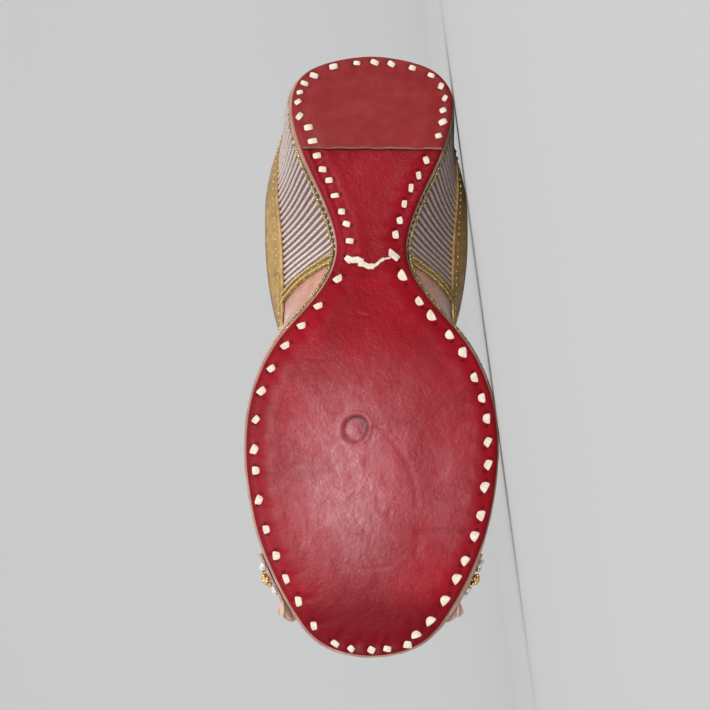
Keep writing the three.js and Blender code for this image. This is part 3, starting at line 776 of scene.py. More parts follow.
def make_camera():
    low, high = cad_low, cad_high
    centre = Vector(((low.x + high.x) / 2, low.y, (low.z + high.z) / 2))
    back = (-up_way + toe_way * math.tan(CAMERA_TOE_TILT)).normalized()
    spot = centre + back * CAMERA_DISTANCE
    spot.z = CAMERA_HEIGHT
    data = bpy.data.cameras.new("camera")
    camera = bpy.data.objects.new("camera", data)
    bpy.context.scene.collection.objects.link(camera)
    forward = (centre - spot).normalized()
    right = forward.cross(-toe_way).normalized()
    up = right.cross(forward)
    rotation = Matrix((right, up, -forward)).transposed().to_4x4()
    camera.matrix_world = Matrix.Translation(spot) @ rotation
    frame_height = (high.x - low.x) / SHOE_SHARE_OF_FRAME
    data.sensor_width = SENSOR
    data.lens = SENSOR * CAMERA_DISTANCE / frame_height
    data.clip_start = 0.01
    data.clip_end = 20
    bpy.context.scene.camera = camera
    print("camera at", [round(c, 3) for c in spot], "lens", round(data.lens, 1))


make_camera()

# %% [markdown]
# ## Outsole and heel lift
#
# On the real shoe a thick thread pulls the wet leather into a pit at every stitch, and the
# edge puffs up between the pits. The copy of the solid is subdivided, cut finer along its
# edge, and then pressed in by a sum of small smooth dents: pits at the stitches, a shallow
# channel that joins them, one round stamp mark and the walking creases of the forefoot.
# Shade in the dents, creases, along the rim and behind the toe is painted into the leather's colour.

# %% Where the stitches are
# Runs of stitches round the edge: first and last place, how many, inset in mm, size and
# length against the model's, and the turn from the edge's own direction in radians.
STITCH_RUNS = (
    {"from": 0.379, "to": 0.931, "count": 18, "inset": 3.4, "size": 1.12, "long": 1.42, "turn": 0.3},
    {"from": 0.952, "to": 1.054, "count": 5, "inset": 1.9, "size": 0.95, "long": 1.0, "turn": 0.4},
    {"from": 1.096, "to": 1.614, "count": 15, "inset": 2.9, "size": 1.0, "long": 1.2, "turn": 0.35},
    {"from": 1.643, "to": 1.820, "count": 10, "inset": 4.2, "size": 0.82, "long": 1.0, "turn": 1.9},
    {"from": 1.839, "to": 1.915, "count": 5, "inset": 2.4, "size": 0.72, "long": 0.82, "turn": 1.0},
    {"from": 1.949, "to": 2.083, "count": 6, "inset": 1.9, "size": 0.76, "long": 0.85, "turn": 0.15},
    {"from": 0.111, "to": 0.187, "count": 5, "inset": 2.9, "size": 0.78, "long": 0.82, "turn": 0.8},
    {"from": 0.226, "to": 0.352, "count": 7, "inset": 3.9, "size": 0.82, "long": 1.05, "turn": -0.5},
)
# How far the hand strays: share of the pitch, inset in mm, turn in radians, share of the size
STRAY_PITCH = 0.12
STRAY_INSET = 0.3
STRAY_TURN = 0.3
STRAY_SIZE = 0.15


def stitch_marks():
    """Middle, direction and size of each sole stitch. The hand's unevenness is seeded."""
    hand = random.Random(71)
    direction_step = 0.004
    marks = []
    for run in STITCH_RUNS:
        pitch = (run["to"] - run["from"]) / (run["count"] - 1)
        for i in range(run["count"]):
            place = run["from"] + pitch * (i + hand.uniform(-STRAY_PITCH, STRAY_PITCH))
            inset = run["inset"] + hand.uniform(-STRAY_INSET, STRAY_INSET)
            spot = edge_point(place, -inset)
            ahead = edge_point(place + direction_step) - edge_point(place - direction_step)
            angle = run["turn"] + hand.uniform(-STRAY_TURN, STRAY_TURN)
            along = Matrix.Rotation(angle, 3, "Z") @ ahead.normalized()
            length = run["long"] * hand.uniform(1 - STRAY_SIZE, 1 + STRAY_SIZE)
            width = run["size"] * hand.uniform(1 - STRAY_SIZE, 1 + STRAY_SIZE)
            marks.append({"spot": spot, "along": along, "size": (length, width)})
    return marks


stitches = stitch_marks()
print("sole stitches", len(stitches))

# %% Pressing the leather
# Dents round a stitch, in mm: half width along it, middle and half width across it
UNDER_THREAD = (1.35, 0.0, 1.25)
PULLED_EDGE = (1.2, 2.8, 2.8)
GROOVE = (0.7, -2.2, 1.5)
PULLED_EDGE_SHARE = 0.55
GROOVE_SHARE = 0.6
GROOVE_SHADE = 0.5
# A thread hole, shown only by painted shade: its distance from the middle of a stitch of size 1, and
# its half widths
HOLE_REACH = 1.72
HOLE_HALF = (0.5, 0.9)
PIT_DEPTH = 0.5
CHANNEL_DEPTH = 0.16
HEEL_PIT_DEPTH = 0.3
HEEL_CHANNEL_DEPTH = 0.05
# The channel that joins the stitches and the puffed band inside it: inset and half width
CHANNEL = (3.0, 1.5)
PUFF = (7.0, 2.6)
PUFF_HEIGHT = 0.22
# The round size stamp: its floor, the swell in the middle of it and the rim pushed up round it
STAMP_MIDDLE = Vector((-5.4, 118.7))
STAMP_RADIUS = 4.1
STAMP_DEPTH = 0.6
STAMP_SWELL = 0.3
STAMP_SWELL_HALF = 2.2
STAMP_RIM = 0.2
STAMP_RIM_HALF = 0.6
STAMP_EDGE_SOFTNESS = 0.22
# Painted shade on the stamp's floor, and the half width of the painted shade in its ring
STAMP_FLOOR_SHADE = 0.24
STAMP_RING_HALF = 0.75
# The stamp is a little oval and three-cornered, as shares of its radius
STAMP_OVAL = 0.07
STAMP_THREE_CORNERS = 0.02
# Painted shade at the rim and behind the toe, where the sole turns away from the light, and in the
# creases
RIM_SHADE = 0.42
RIM_SHADE_HALF = 2.2
TOE_SHADE = 0.55
TOE_SHADE_Y = 171
TOE_SHADE_SOFTNESS = 3
CREASE_SHADE = 1.6
# Polish that is gone, with a painted sheen over it, inside the rim and in a band along it: share,
# where from the rim, where in Y
WEAR_AND_SHEEN_INSIDE = {"share": 0.14, "rim": (9, 2), "y": (134, 40, 6)}
WEAR_AND_SHEEN_BAND = {"share": 0.1, "rim": (7.5, 2.0), "y": (122, 34, 4)}
# Patches of wear with a painted sheen: share of the polish that is gone and of the sheen, middle, half
# widths and powers in X and Y
WEAR_AND_SHEEN_PATCHES = (
    {"share": 0.27, "middle": (-10, 132), "half": (14, 27), "powers": (2, 4)},
    {"share": 0.4, "middle": (-5, 137), "half": (14, 24), "powers": (2, 2)},
    {"share": 0.25, "middle": (24, 138), "half": (6, 17), "powers": (2, 2)},
)
# Creases of the forefoot: points from end to end, depth and half width in mm
CREASES = (
    {"points": ((1.8, 118), (5, 121), (8.1, 124.9), (10.6, 129)), "depth": 0.17, "half": 0.45},
    {"points": ((10.6, 129), (12.6, 134), (13.6, 138.5), (13.8, 143)), "depth": 0.24, "half": 0.45},
    {"points": ((14.5, 151.2), (18, 151), (23, 150.4), (28, 150.7), (31, 150.3)), "depth": 0.22,
     "half": 0.9},
    {"points": ((13.8, 149.8), (14.3, 154), (13.8, 159)), "depth": 0.1, "half": 0.4},
    {"points": ((0.1, 142.2), (3.6, 141.6), (8.1, 140.6), (12.3, 139.4)), "depth": 0.12, "half": 0.45},
    {"points": ((22, 155), (27, 158), (31, 158)), "depth": 0.14, "half": 0.6},
    {"points": ((-22, 96), (-16, 97), (-10, 95)), "depth": 0.08, "half": 0.5},
    {"points": ((-12, 160), (-4, 163), (6, 162)), "depth": 0.1, "half": 0.7},
    {"points": ((-5, 82), (-1, 83), (2, 81)), "depth": 0.12, "half": 0.4},
)


def bottom_of(obj, steepest=-0.35):
    """Indices and shoe places of the vertices that face the ground."""
    count = len(obj.data.vertices)
    spots = np.empty(count * 3)
    normals = np.empty(count * 3)
    obj.data.vertices.foreach_get("co", spots)
    obj.data.vertex_normals.foreach_get("vector", normals)
    spots = spots.reshape(-1, 3)
    normals = normals.reshape(-1, 3)
    return spots, np.nonzero(normals[:, 2] < steepest)[0]


def edge_distance(spots):
    """Distance of each place from the sole's outline."""
    line = np.array([edge_point(p)[:2] for p in spread(0, 2, 720)])
    distance = np.empty(len(spots))
    for start in range(0, len(spots), 4000):
        part = spots[start:start + 4000, :2]
        gaps = part[:, None, :] - line[None, :, :]
        distance[start:start + 4000] = np.sqrt((gaps ** 2).sum(2).min(1))
    return distance


def crease_depth(spots, crease):
    depth = np.zeros(len(spots))
    points = [np.array(p, float) for p in crease["points"]]
    for a, b in zip(points, points[1:]):
        along = b - a
        share = np.clip(((spots[:, :2] - a) @ along) / (along @ along), 0, 1)
        gap = np.linalg.norm(spots[:, :2] - a - share[:, None] * along, axis=1)
        depth = np.maximum(depth, crease["depth"] * bell(gap, 0, crease["half"]))
    return depth


def stitch_dents(under, pit_depth):
    """Depth of the leather round the stitches, and the shade painted in the groove beside them and at
    their thread holes.
    """
    depth = np.zeros(len(under))
    dark = np.zeros(len(under))
    for mark in stitches:
        gap = under[:, :2] - np.array(mark["spot"][:2])
        along = np.array(mark["along"][:2])
        run = gap @ along
        across = gap @ np.array([-along[1], along[0]])

        def dent(half_run, middle, half_across):
            return bell(run, 0, half_run) * bell(across, middle, half_across)

        groove = dent(*GROOVE)
        depth = np.maximum(depth, pit_depth * dent(*UNDER_THREAD))
        depth += pit_depth * (PULLED_EDGE_SHARE * dent(*PULLED_EDGE) + GROOVE_SHARE * groove)
        # The thread holes get painted shade and no depth, and the groove gets painted shade as well
        past_end = np.abs(run) - HOLE_REACH * mark["size"][0]
        hole = bell(past_end, 0, HOLE_HALF[0]) * bell(across, 0, HOLE_HALF[1])
        dark = np.maximum(dark, np.maximum(hole, GROOVE_SHADE * groove))
    return depth, dark


def stamp_dent(under):
    """Depth of the bare round stamp, which was struck a little unevenly, and the shade painted on its
    floor and in a ring inside its edge.
    """
    from_middle = under[:, :2] - np.array(STAMP_MIDDLE)
    angle = np.arctan2(from_middle[:, 1], from_middle[:, 0])
    uneven = 1 + STAMP_OVAL * np.sin(2 * angle + 0.6) + STAMP_THREE_CORNERS * np.sin(3 * angle)
    radius = np.linalg.norm(from_middle, axis=1) * uneven
    inside = step_up(STAMP_RADIUS, radius, STAMP_EDGE_SOFTNESS)
    depth = inside * (STAMP_DEPTH - STAMP_SWELL * bell(radius, 0, STAMP_SWELL_HALF))
    depth -= STAMP_RIM * bell(radius, STAMP_RADIUS + 0.8, STAMP_RIM_HALF)
    # Painted shade in a ring inside the stamp's edge, heavier on one side
    ring = (0.62 + 0.3 * np.sin(angle + 2.6)) * bell(radius, STAMP_RADIUS - 0.5, STAMP_RING_HALF)
    return depth, np.maximum(ring, STAMP_FLOOR_SHADE * inside)


def wear_and_sheen_share(under, rim):
    """How much polish is gone and how much pale sheen is painted: everywhere a little, most where the
    ball treads.
    """
    x, y = under[:, 0], under[:, 1]
    wear_and_sheen = WEAR_AND_SHEEN_INSIDE["share"] * step_up(rim, *WEAR_AND_SHEEN_INSIDE["rim"]) * bell(y, *WEAR_AND_SHEEN_INSIDE["y"])
    wear_and_sheen += WEAR_AND_SHEEN_BAND["share"] * bell(rim, *WEAR_AND_SHEEN_BAND["rim"]) * bell(y, *WEAR_AND_SHEEN_BAND["y"])
    for patch in WEAR_AND_SHEEN_PATCHES:
        middle, half, powers = patch["middle"], patch["half"], patch["powers"]
        in_x = bell(x, middle[0], half[0], powers[0])
        wear_and_sheen += patch["share"] * in_x * bell(y, middle[1], half[1], powers[1])
    return np.clip(wear_and_sheen, 0, 1)


def write_attribute(obj, name, picked, values):
    """Stores one number for each picked vertex, and 0 for the others."""
    whole = np.zeros(len(obj.data.vertices), np.float32)
    whole[picked] = values
    attribute = obj.data.attributes.new(name, "FLOAT", "POINT")
    attribute.data.foreach_set("value", whole)


def press(obj, pit_depth, channel_depth, with_marks):
    """Moves the underside's vertices into the leather and records the shade that is painted into its
    colour.
    """
    spots, picked = bottom_of(obj)
    under = spots[picked]
    rim = edge_distance(under)
    depth, dark = stitch_dents(under, pit_depth)
    depth += channel_depth * bell(rim, *CHANNEL) - PUFF_HEIGHT * bell(rim, *PUFF)
    if with_marks:
        stamp_depth, stamp_dark = stamp_dent(under)
        depth += stamp_depth
        dark = np.maximum(dark, stamp_dark)
        for crease in CREASES:
            hollow = crease_depth(under, crease)
            depth += hollow
            dark = np.maximum(dark, hollow * CREASE_SHADE)
        dark = np.maximum(dark, RIM_SHADE * bell(rim, 0, RIM_SHADE_HALF))
        toe_shade = TOE_SHADE * step_up(under[:, 1], TOE_SHADE_Y, TOE_SHADE_SOFTNESS)
        dark = np.maximum(dark, toe_shade)
        write_attribute(obj, "rubbed_polish_and_sheen", picked, wear_and_sheen_share(under, rim))
    spots[picked, 2] += depth
    obj.data.vertices.foreach_set("co", spots.ravel())
    write_attribute(obj, "painted_shade", picked, dark)
    obj.data.update()
    print(obj.name, "deepest dent", round(float(depth.max()), 2), "mm")


# %% Outsole
STITCHED_EDGE = 9
STAMP_SURROUND = 8
# Faces this near a crease are cut finer: its widened half width, and the least depth there
CREASE_SURROUND = 1.6
CREASE_LEAST = 0.03


def near_edge(centres):
    return edge_distance(centres) < STITCHED_EDGE


def near_stamp(centres):
    return np.linalg.norm(centres[:, :2] - np.array(STAMP_MIDDLE), axis=1) < STAMP_SURROUND


def near_crease(centres):
    widened = [{**crease, "half": CREASE_SURROUND} for crease in CREASES]
    return np.max([crease_depth(centres, crease) for crease in widened], axis=0) > CREASE_LEAST


def everywhere(centres):
    return np.full(len(centres), True)


def make_outsole():
    obj = copy_of_node("outsole", "outsole_leather")
    subdivide(obj, 2)
    refine_underside(obj, near_edge, 2)
    refine_underside(obj, near_stamp, 3)
    refine_underside(obj, near_crease, 2)
    press(obj, PIT_DEPTH, CHANNEL_DEPTH, True)
    return obj


def make_heel_lift():
    obj = copy_of_node("heel_lift", "heel_lift_leather")
    hold_edges(obj, 60)
    subdivide(obj, 2)
    refine_underside(obj, everywhere, 3)
    press(obj, HEEL_PIT_DEPTH, HEEL_CHANNEL_DEPTH, False)
    return obj


outsole = make_outsole()
heel_lift = make_heel_lift()
sole_tree = BVHTree.FromPolygons(
    [v.co.copy() for v in outsole.data.vertices] + [v.co.copy() for v in heel_lift.data.vertices],
    [tuple(p.vertices) for p in outsole.data.polygons]
    + [tuple(len(outsole.data.vertices) + v for v in p.vertices) for p in heel_lift.data.polygons])


def under_sole(x, y):
    """Point and normal of the underside at a place."""
    far_below = -30
    spot, normal, _, _ = sole_tree.ray_cast(Vector((x, y, far_below)), Vector((0, 0, 1)))
    return (spot, normal) if spot else (Vector((x, y, 0)), Vector((0, 0, -1)))


# %% [markdown]
# ## Sole stitches
#
# Each stitch is a short, thick, waxed thread that comes out of one hole and goes back into
# the next. One is modelled from a cube: its ends are drawn down into the leather, its back
# is rounded by subdivision, and it is stamped at every place.

# %% Stitches
STITCH_LENGTH = 3.0
STITCH_WIDTH = 2.15
STITCH_HEIGHT = 0.95
# How much narrower a stitch's ends are, how far they dip, and how far its back stands out
STITCH_TAPER = 0.2
STITCH_DIP = 0.5
STITCH_PROUD = 0.12


def model_stitch():
    bpy.ops.mesh.primitive_cube_add(size=1)
    obj = bpy.context.view_layer.objects.active
    bpy.ops.object.mode_set(mode="EDIT")
    bpy.ops.mesh.select_all(action="SELECT")
    bpy.ops.mesh.subdivide(number_cuts=3)
    bpy.ops.object.mode_set(mode="OBJECT")
    for vertex in obj.data.vertices:
        x, y, z = vertex.co
        end = abs(2 * x) ** 3
        width = STITCH_WIDTH * (1 - STITCH_TAPER * end)
        dip = STITCH_DIP * end
        vertex.co = (x * STITCH_LENGTH, y * width, z * STITCH_HEIGHT - dip + STITCH_PROUD)
    subdivide(obj, 1)
    return obj


def make_stitches():
    down = Vector((0, 0, -1))
    placings = []
    for mark in stitches:
        spot, _ = under_sole(mark["spot"].x, mark["spot"].y)
        size = (*mark["size"], 1.0)
        placings.append(placing(spot + down * STITCH_PROUD, down, mark["along"], size))
    return stamp_copies("sole_stitches", model_stitch(), placings)


# Thread left across the waist: two flat knots, a thin tail and an end knot, radius in mm
REMAINS = (
    {"points": ((-8.0, 64.2), (-6.2, 64.9), (-4.4, 64.8), (-2.7, 65.6)), "radius": 0.95},
    {"points": ((-4.4, 66.0), (-2.6, 66.2), (-1.2, 66.9), (0.6, 66.9)), "radius": 0.85},
    {"points": ((0.4, 67.0), (1.6, 66.2), (2.6, 65.2), (3.8, 64.5)), "radius": 0.5},
    {"points": ((3.6, 64.6), (4.8, 64.3), (6.0, 64.0)), "radius": 0.3},
    {"points": ((5.6, 62.2), (6.6, 62.9), (8.2, 64.2)), "radius": 1.1},
)
# Shares of a stretch's radius: how far apart its plies lie, how far they sink, how thick one is
PLY_SHIFT = 0.62
PLY_SINK = 0.35
PLY_RADIUS = 0.5


def make_thread_remains():
    """Each stretch is three strands side by side, pressed flat on the leather."""
    parts = []
    for stretch in REMAINS:
        radius = stretch["radius"]
        strands = []
        for shift in (-PLY_SHIFT, 0.0, PLY_SHIFT):
            strand = []
            for x, y in stretch["points"]:
                spot, _ = under_sole(x, y + shift * radius)
                strand.append(spot + Vector((0, 0, -PLY_SINK * radius)))
            strands.append(strand)
        parts.append(cords("thread_stretch", strands, radius * PLY_RADIUS))
    bpy.ops.object.select_all(action="DESELECT")
    for part in parts:
        part.select_set(True)
    bpy.context.view_layer.objects.active = parts[0]
    bpy.ops.object.join()
    parts[0].name = "thread_remains"
    return parts[0]


HEEL_EDGE_RADIUS = 0.34
HEEL_EDGE_INSET = 0.3
# How deep the line lies behind the front edge and above the lift's face, and how far it sways
HEEL_EDGE_BACK = 0.1
HEEL_EDGE_UP = 0.12
HEEL_EDGE_SWAY = (0.25, 0.1)
HEEL_EDGE_WAVES = 0.25


def make_heel_edge():
    """The raw cut edge of the heel lift, which shows as a pale brown, slightly wavy line."""
    front = max(v.co.y for v in heel_lift.data.vertices)
    reach = max(v.co.x for v in heel_lift.data.vertices if v.co.y > front - HEEL_EDGE_INSET)
    line = []
    for x in spread(-reach + HEEL_EDGE_INSET, reach - HEEL_EDGE_INSET, 40):
        push = noise.noise(Vector((x * HEEL_EDGE_WAVES, 0, 0)))
        y = front - HEEL_EDGE_BACK + HEEL_EDGE_SWAY[0] * push
        line.append(Vector((x, y, HEEL_EDGE_UP + HEEL_EDGE_SWAY[1] * push)))
    return cords("heel_edge", [line], HEEL_EDGE_RADIUS)


sole_stitches = make_stitches()
thread_remains = make_thread_remains()
heel_edge = make_heel_edge()
finish_piece(outsole, sole_leather, ["outsole"])
finish_piece(heel_lift, heel_leather, ["heel_lift"])
finish_piece(sole_stitches, white_thread)
finish_piece(thread_remains, white_thread)

# %% [markdown]
# ## Rand and its cord
#
# The rand is a raw strip of leather between sole and upper. Its cut edge is a little
# uneven, so its copy is subdivided and pushed about by a slow noise. At the waist it is
# tucked in under the sole, and on one side of the toe it stands out. A thin two-ply gold
# cord lies between the rand and the foot of the upper. It shows at the waist and slips in
# behind the rand elsewhere.

# %% Rand
# The cord's winding radius, the radius of one ply and the length of one turn
RAND_CORD_WINDING = 0.26
RAND_CORD_PLY = 0.33
RAND_CORD_PITCH = 1.6
RAND_CORD_UP = 0.05
# How far the cord lies under the upper's face where it is tucked in, and how far it comes out
RAND_CORD_TUCK = 0.6
RAND_CORD_OUT = 1.15
RAND_CORD_WAIST_OUT = 0.45
# Stretches where it shows: middle place and half width
RAND_CORD_SHOWN = ((0.38, 0.33), (1.7, 0.22))
WAIST_STRETCH = (0.3, 0.17)
# The rand stands out beside the toe, on the +X side: how far, round which Y and half width
RAND_BULGE = 1.0
BULGE_LEAST_X = 12
BULGE_FROM_Y = 140
BULGE = (170, 11)
# How far it is tucked in at the waist, and where that is: Y and half width
RAND_TUCK = 0.75
WAIST = (62, 27)
# Without a seed the slow noise would start from the clock and differ in each run
NOISE_SEED = 5


def waver(obj, amount, scale):
    """Pushes the surface about by a slow noise, less in height than sideways."""
    share_of_height = 0.4
    noise.seed_set(NOISE_SEED)
    for vertex in obj.data.vertices:
        push = noise.noise_vector(vertex.co * scale)
        vertex.co += Vector((push.x, push.y, push.z * share_of_height)) * amount


def make_rand():
    obj = copy_of_node("rand", "rand_strip")
    hold_edges(obj, 50)
    subdivide(obj, 2)
    for vertex in obj.data.vertices:
        if vertex.co.x > BULGE_LEAST_X:
            out = Vector((vertex.co.x, vertex.co.y - BULGE_FROM_Y, 0)).normalized()
            vertex.co += out * (RAND_BULGE * bell(vertex.co.y, *BULGE))
        tuck = RAND_TUCK * bell(vertex.co.y, *WAIST, 4)
        vertex.co.x -= math.copysign(tuck, vertex.co.x)
    waver(obj, 0.16, 0.35)
    return obj


def make_rand_cord():
    """The cord shows beside the rand at the waist and is tucked in behind it elsewhere."""
    path = []
    for place in spread(0, 2, 420)[:-1]:
        shown = sum(bell(place, *stretch, 4) for stretch in RAND_CORD_SHOWN)
        at_waist = bell(min(place, 2 - place), *WAIST_STRETCH, 4)
        spot, normal = upper_at(place, RAND_CORD_UP, RAND_CORD_OUT * shown - RAND_CORD_TUCK)
        out = edge_point(place, 1) - edge_point(place)
        path.append((spot + out * (RAND_CORD_WAIST_OUT * at_waist), normal))
    path.append(path[0])
    strands = twisted(path, RAND_CORD_WINDING, RAND_CORD_PITCH, steps_per_turn=6)
    return cords("rand_cord", strands, RAND_CORD_PLY, 0)


finish_piece(make_rand(), rand_leather, ["rand"])
finish_piece(make_rand_cord(), gold_glitter)
finish_piece(heel_edge, raw_edge)

# %% [markdown]
# ## Upper: vamp and quarters
#
# The solid upper is one shell. Its copy is subdivided with its rims creased and then cut in
# two along the seam, because the vamp is pink cloth and the quarters are covered with metal
# cords. A thin lining lies inside.

# %% Shell of the upper
seam_foot, _ = upper_at(SEAM_FOOT_PLACE, 0.0)
seam_head, _ = upper_at(SEAM_HEAD_PLACE, 1.0)
seam_rise = Vector((0, seam_head.y - seam_foot.y, seam_head.z - seam_foot.z)).normalized()
seam_way = Vector((0, seam_rise.z, -seam_rise.y))
print("seam leans", round(math.degrees(math.atan2(seam_rise.y, seam_rise.z)), 1), "degrees")


def cut_shell(source, name, keep_front):
    obj = bpy.data.objects.new(name, source.data.copy())
    bpy.context.scene.collection.objects.link(obj)
    form = bmesh.new()
    form.from_mesh(obj.data)
    cut = bmesh.ops.bisect_plane(form, geom=[*form.verts, *form.edges, *form.faces],
                                 plane_co=seam_foot, plane_no=seam_way,
                                 clear_inner=keep_front, clear_outer=not keep_front)
    rim = [e for e in cut["geom_cut"] if isinstance(e, bmesh.types.BMEdge)]
    bmesh.ops.holes_fill(form, edges=rim, sides=0)
    form.to_mesh(obj.data)
    form.free()
    return obj


def edge_trim(obj, reach):
    """Marks how close a place is to the seam or the sole, for the glitter."""
    values = []
    for vertex in obj.data.vertices:
        to_seam = abs((vertex.co - seam_foot).dot(seam_way))
        to_sole = vertex.co.z - upper_foot(vertex.co.y)
        values.append(max(0.0, 1 - min(to_seam, 1.4 * to_sole) / reach))
    write_attribute(obj, "trim", slice(None), values)


shell = copy_of_node("upper", "upper_shell")
hold_edges(shell, 60)
subdivide(shell, 2)
vamp = cut_shell(shell, "vamp", True)
quarters = cut_shell(shell, "quarters", False)
bpy.data.objects.remove(shell)
GLITTER_REACH = 7.0
edge_trim(vamp, GLITTER_REACH)
finish_piece(vamp, vamp_cloth, ["upper"])
finish_piece(quarters, zari_cloth)


LINING_GAP = 0.3
LINING_THICKNESS = 0.35
LINING_UPS = (0.02, 0.93)


def make_lining():
    """A thin sheet inside the wall, from above the insole to below the topline."""
    ups = spread(*LINING_UPS, 14)
    places = spread(0, 2, 132)[:-1]
    bpy.ops.mesh.primitive_grid_add(x_subdivisions=len(places), y_subdivisions=len(ups) - 1, size=1)
    obj = bpy.context.view_layer.objects.active
    obj.name = "lining"
    for vertex in obj.data.vertices:
        place = round((vertex.co.x + 0.5) * len(places)) / len(places) * 2
        up = ups[0] + (vertex.co.y + 0.5) * (ups[-1] - ups[0])
        vertex.co, _ = upper_at(place, up, -UPPER_WALL - LINING_GAP)
    form = bmesh.new()
    form.from_mesh(obj.data)
    bmesh.ops.remove_doubles(form, verts=form.verts, dist=0.01)
    bmesh.ops.recalc_face_normals(form, faces=form.faces)
    form.to_mesh(obj.data)
    form.free()
    modifier = obj.modifiers.new("thickness", "SOLIDIFY")
    modifier.thickness = LINING_THICKNESS
    modifier.offset = 0
    activate(obj)
    bpy.ops.object.modifier_apply(modifier=modifier.name)
    return obj


finish_piece(make_lining(), lining_leather)

insole = copy_of_node("insole", "insole_pad")
hold_edges(insole, 50)
subdivide(insole, 2)
finish_piece(insole, insole_leather, ["insole"])

# %% [markdown]
# ## Metal cords of the quarters
#
# The quarters are laid with parallel metal cords that lean forwards like the seam. Each
# cord is the line on the upper where one slanted distance from the seam stays the same.
# Round the back of the heel that distance goes on round the outline, so the cords keep
# their lean until they meet at the back seam.

# %% Quarter cords
CORD_PITCH = 1.75
CORD_RADIUS = 0.58
CORD_LIFT = 0.12
CORD_UPS = (0.02, 0.9)
FIRST_CORD_BEHIND_SEAM = 0.6
PAST_SEAM = 0.02
HEEL_TURN_PLACE = 0.13
HALF_EDGE = sum((edge_point(b) - edge_point(a)).length
                for a, b in zip(spread(0, 1, 200), spread(0, 1, 200)[1:]))


def slant(place, up):
    """Distance along the quarter, slanted with the seam."""
    held = max(place, HEEL_TURN_PLACE)
    spot, _ = upper_at(held, up)
    return (spot - seam_foot).dot(seam_way) - (held - place) * HALF_EDGE * seam_way.y


def cord_line(level, side):
    path = []
    for up in spread(*CORD_UPS, 15):
        low, high = 0.0, SEAM_HEAD_PLACE + PAST_SEAM
        if slant(low, up) > level or slant(high, up) < level:
            continue
        place = turning_value(low, high, lambda p: slant(p, up) < level)
        spot, _ = upper_at(place, up, CORD_LIFT)
        path.append(mirrored(spot, side))
    return path


def make_quarter_cords():
    paths = []
    farthest = slant(0, CORD_UPS[1])
    levels = int(-farthest / CORD_PITCH)
    for k in range(1, levels + 1):
        for side in (1, -1):
            path = cord_line(-FIRST_CORD_BEHIND_SEAM - k * CORD_PITCH, side)
            if len(path) > 2:
                paths.append(path)
    return cords("quarter_cords", paths, CORD_RADIUS)


finish_piece(make_quarter_cords(), zari_thread)

# %% [markdown]
# ## Seam bands and the collar's binding
#
# The join of vamp and quarter is covered with a gold band, and a twisted cord runs down
# both its edges. The binding is a leather strip folded over the topline. A row of gold
# stitches goes through its lower edge.

# %% Seam bands


def make_seam_band(node, name):
    obj = copy_of_node(node, name)
    hold_edges(obj, 50)
    subdivide(obj, 2)
    return obj


# A seam cord's distance from the seam and height over the cloth, its winding radius, the
# radius of one ply, the length of one turn, and where on the section it starts and ends
SEAM_CORD_SHIFT = 1.25
SEAM_CORD_OUT = 1.25
SEAM_CORD_WINDING = 0.3
SEAM_CORD_PLY = 0.36
SEAM_CORD_PITCH = 1.8
SEAM_CORD_UPS = (0.08, 0.77)


def make_seam_cords():
    strands = []
    step = 0.002
    for side in (1, -1):
        for shift in (-SEAM_CORD_SHIFT, SEAM_CORD_SHIFT):
            path = []
            for up in spread(*SEAM_CORD_UPS, 16):
                place = SEAM_FOOT_PLACE + (SEAM_HEAD_PLACE - SEAM_FOOT_PLACE) * up
                ahead = upper_at(place + step, up)[0] - upper_at(place - step, up)[0]
                moved = place + shift * 2 * step / ahead.length
                spot, normal = upper_at(moved, up, SEAM_CORD_OUT)
                path.append((mirrored(spot, side), mirrored(normal, side)))
            strands += twisted(path, SEAM_CORD_WINDING, SEAM_CORD_PITCH)
    return cords("seam_cords", strands, SEAM_CORD_PLY, 0)


finish_piece(make_seam_band("seam_band_right", "seam_braid_right"), gold_glitter,
             ["seam_band_right"])
finish_piece(make_seam_band("seam_band_left", "seam_braid_left"), gold_glitter,
             ["seam_band_left"])
finish_piece(make_seam_cords(), gold_thread)

# %% Collar binding and its stitches
BINDING_STITCH_DEPTH = 4.6
BINDING_STITCH_PITCH = 2.4
BINDING_STITCH_LIFT = 0.06
SHORT_STITCH_SIZE = (1.8, 0.9, 0.7)
# How far the ends of a short stitch dip, and the half length that this is measured at
SHORT_STITCH_DIP = 0.28
SHORT_STITCH_HALF = 0.8


def make_binding():
    obj = copy_of_node("collar_binding", "binding_leather")
    hold_edges(obj, 60)
    subdivide(obj, 2)
    waver(obj, 0.06, 0.5)
    return obj


def model_short_stitch():
    bpy.ops.mesh.primitive_cube_add(size=1)
    obj = bpy.context.view_layer.objects.active
    obj.data.transform(Matrix.Diagonal((*SHORT_STITCH_SIZE, 1)))
    subdivide(obj, 2)
    for vertex in obj.data.vertices:
        vertex.co.z -= SHORT_STITCH_DIP * (vertex.co.x / SHORT_STITCH_HALF) ** 2
    return obj


def make_binding_stitches():
    line = []
    for place in spread(0, 2, 400):
        up = height_below_topline(place, BINDING_STITCH_DEPTH)
        line.append(upper_at(place, up, BINDING_OUT + BINDING_STITCH_LIFT))
    placings = []
    run, next_stitch = 0.0, 0.0
    for (a, normal), (b, _) in zip(line, line[1:]):
        if run >= next_stitch:
            placings.append(placing(a, normal, b - a))
            next_stitch += BINDING_STITCH_PITCH
        run += (b - a).length
    print("binding stitches", len(placings))
    return stamp_copies("binding_stitches", model_short_stitch(), placings)


finish_piece(make_binding(), gold_leather, ["collar_binding"])
finish_piece(make_binding_stitches(), gold_thread)

# %% [markdown]
# ## Toe garland
#
# Over the toes lies a band of cloth with heaps of gold beads, cut crystals on both their
# flanks, a row of seed beads at each edge and a frill of petals in front. A line of the
# garland is the crossing of the vamp with one Y. Beads are round with a flat at the thread
# holes, crystals are cut with facets, and a petal is a cupped tongue of cloth.

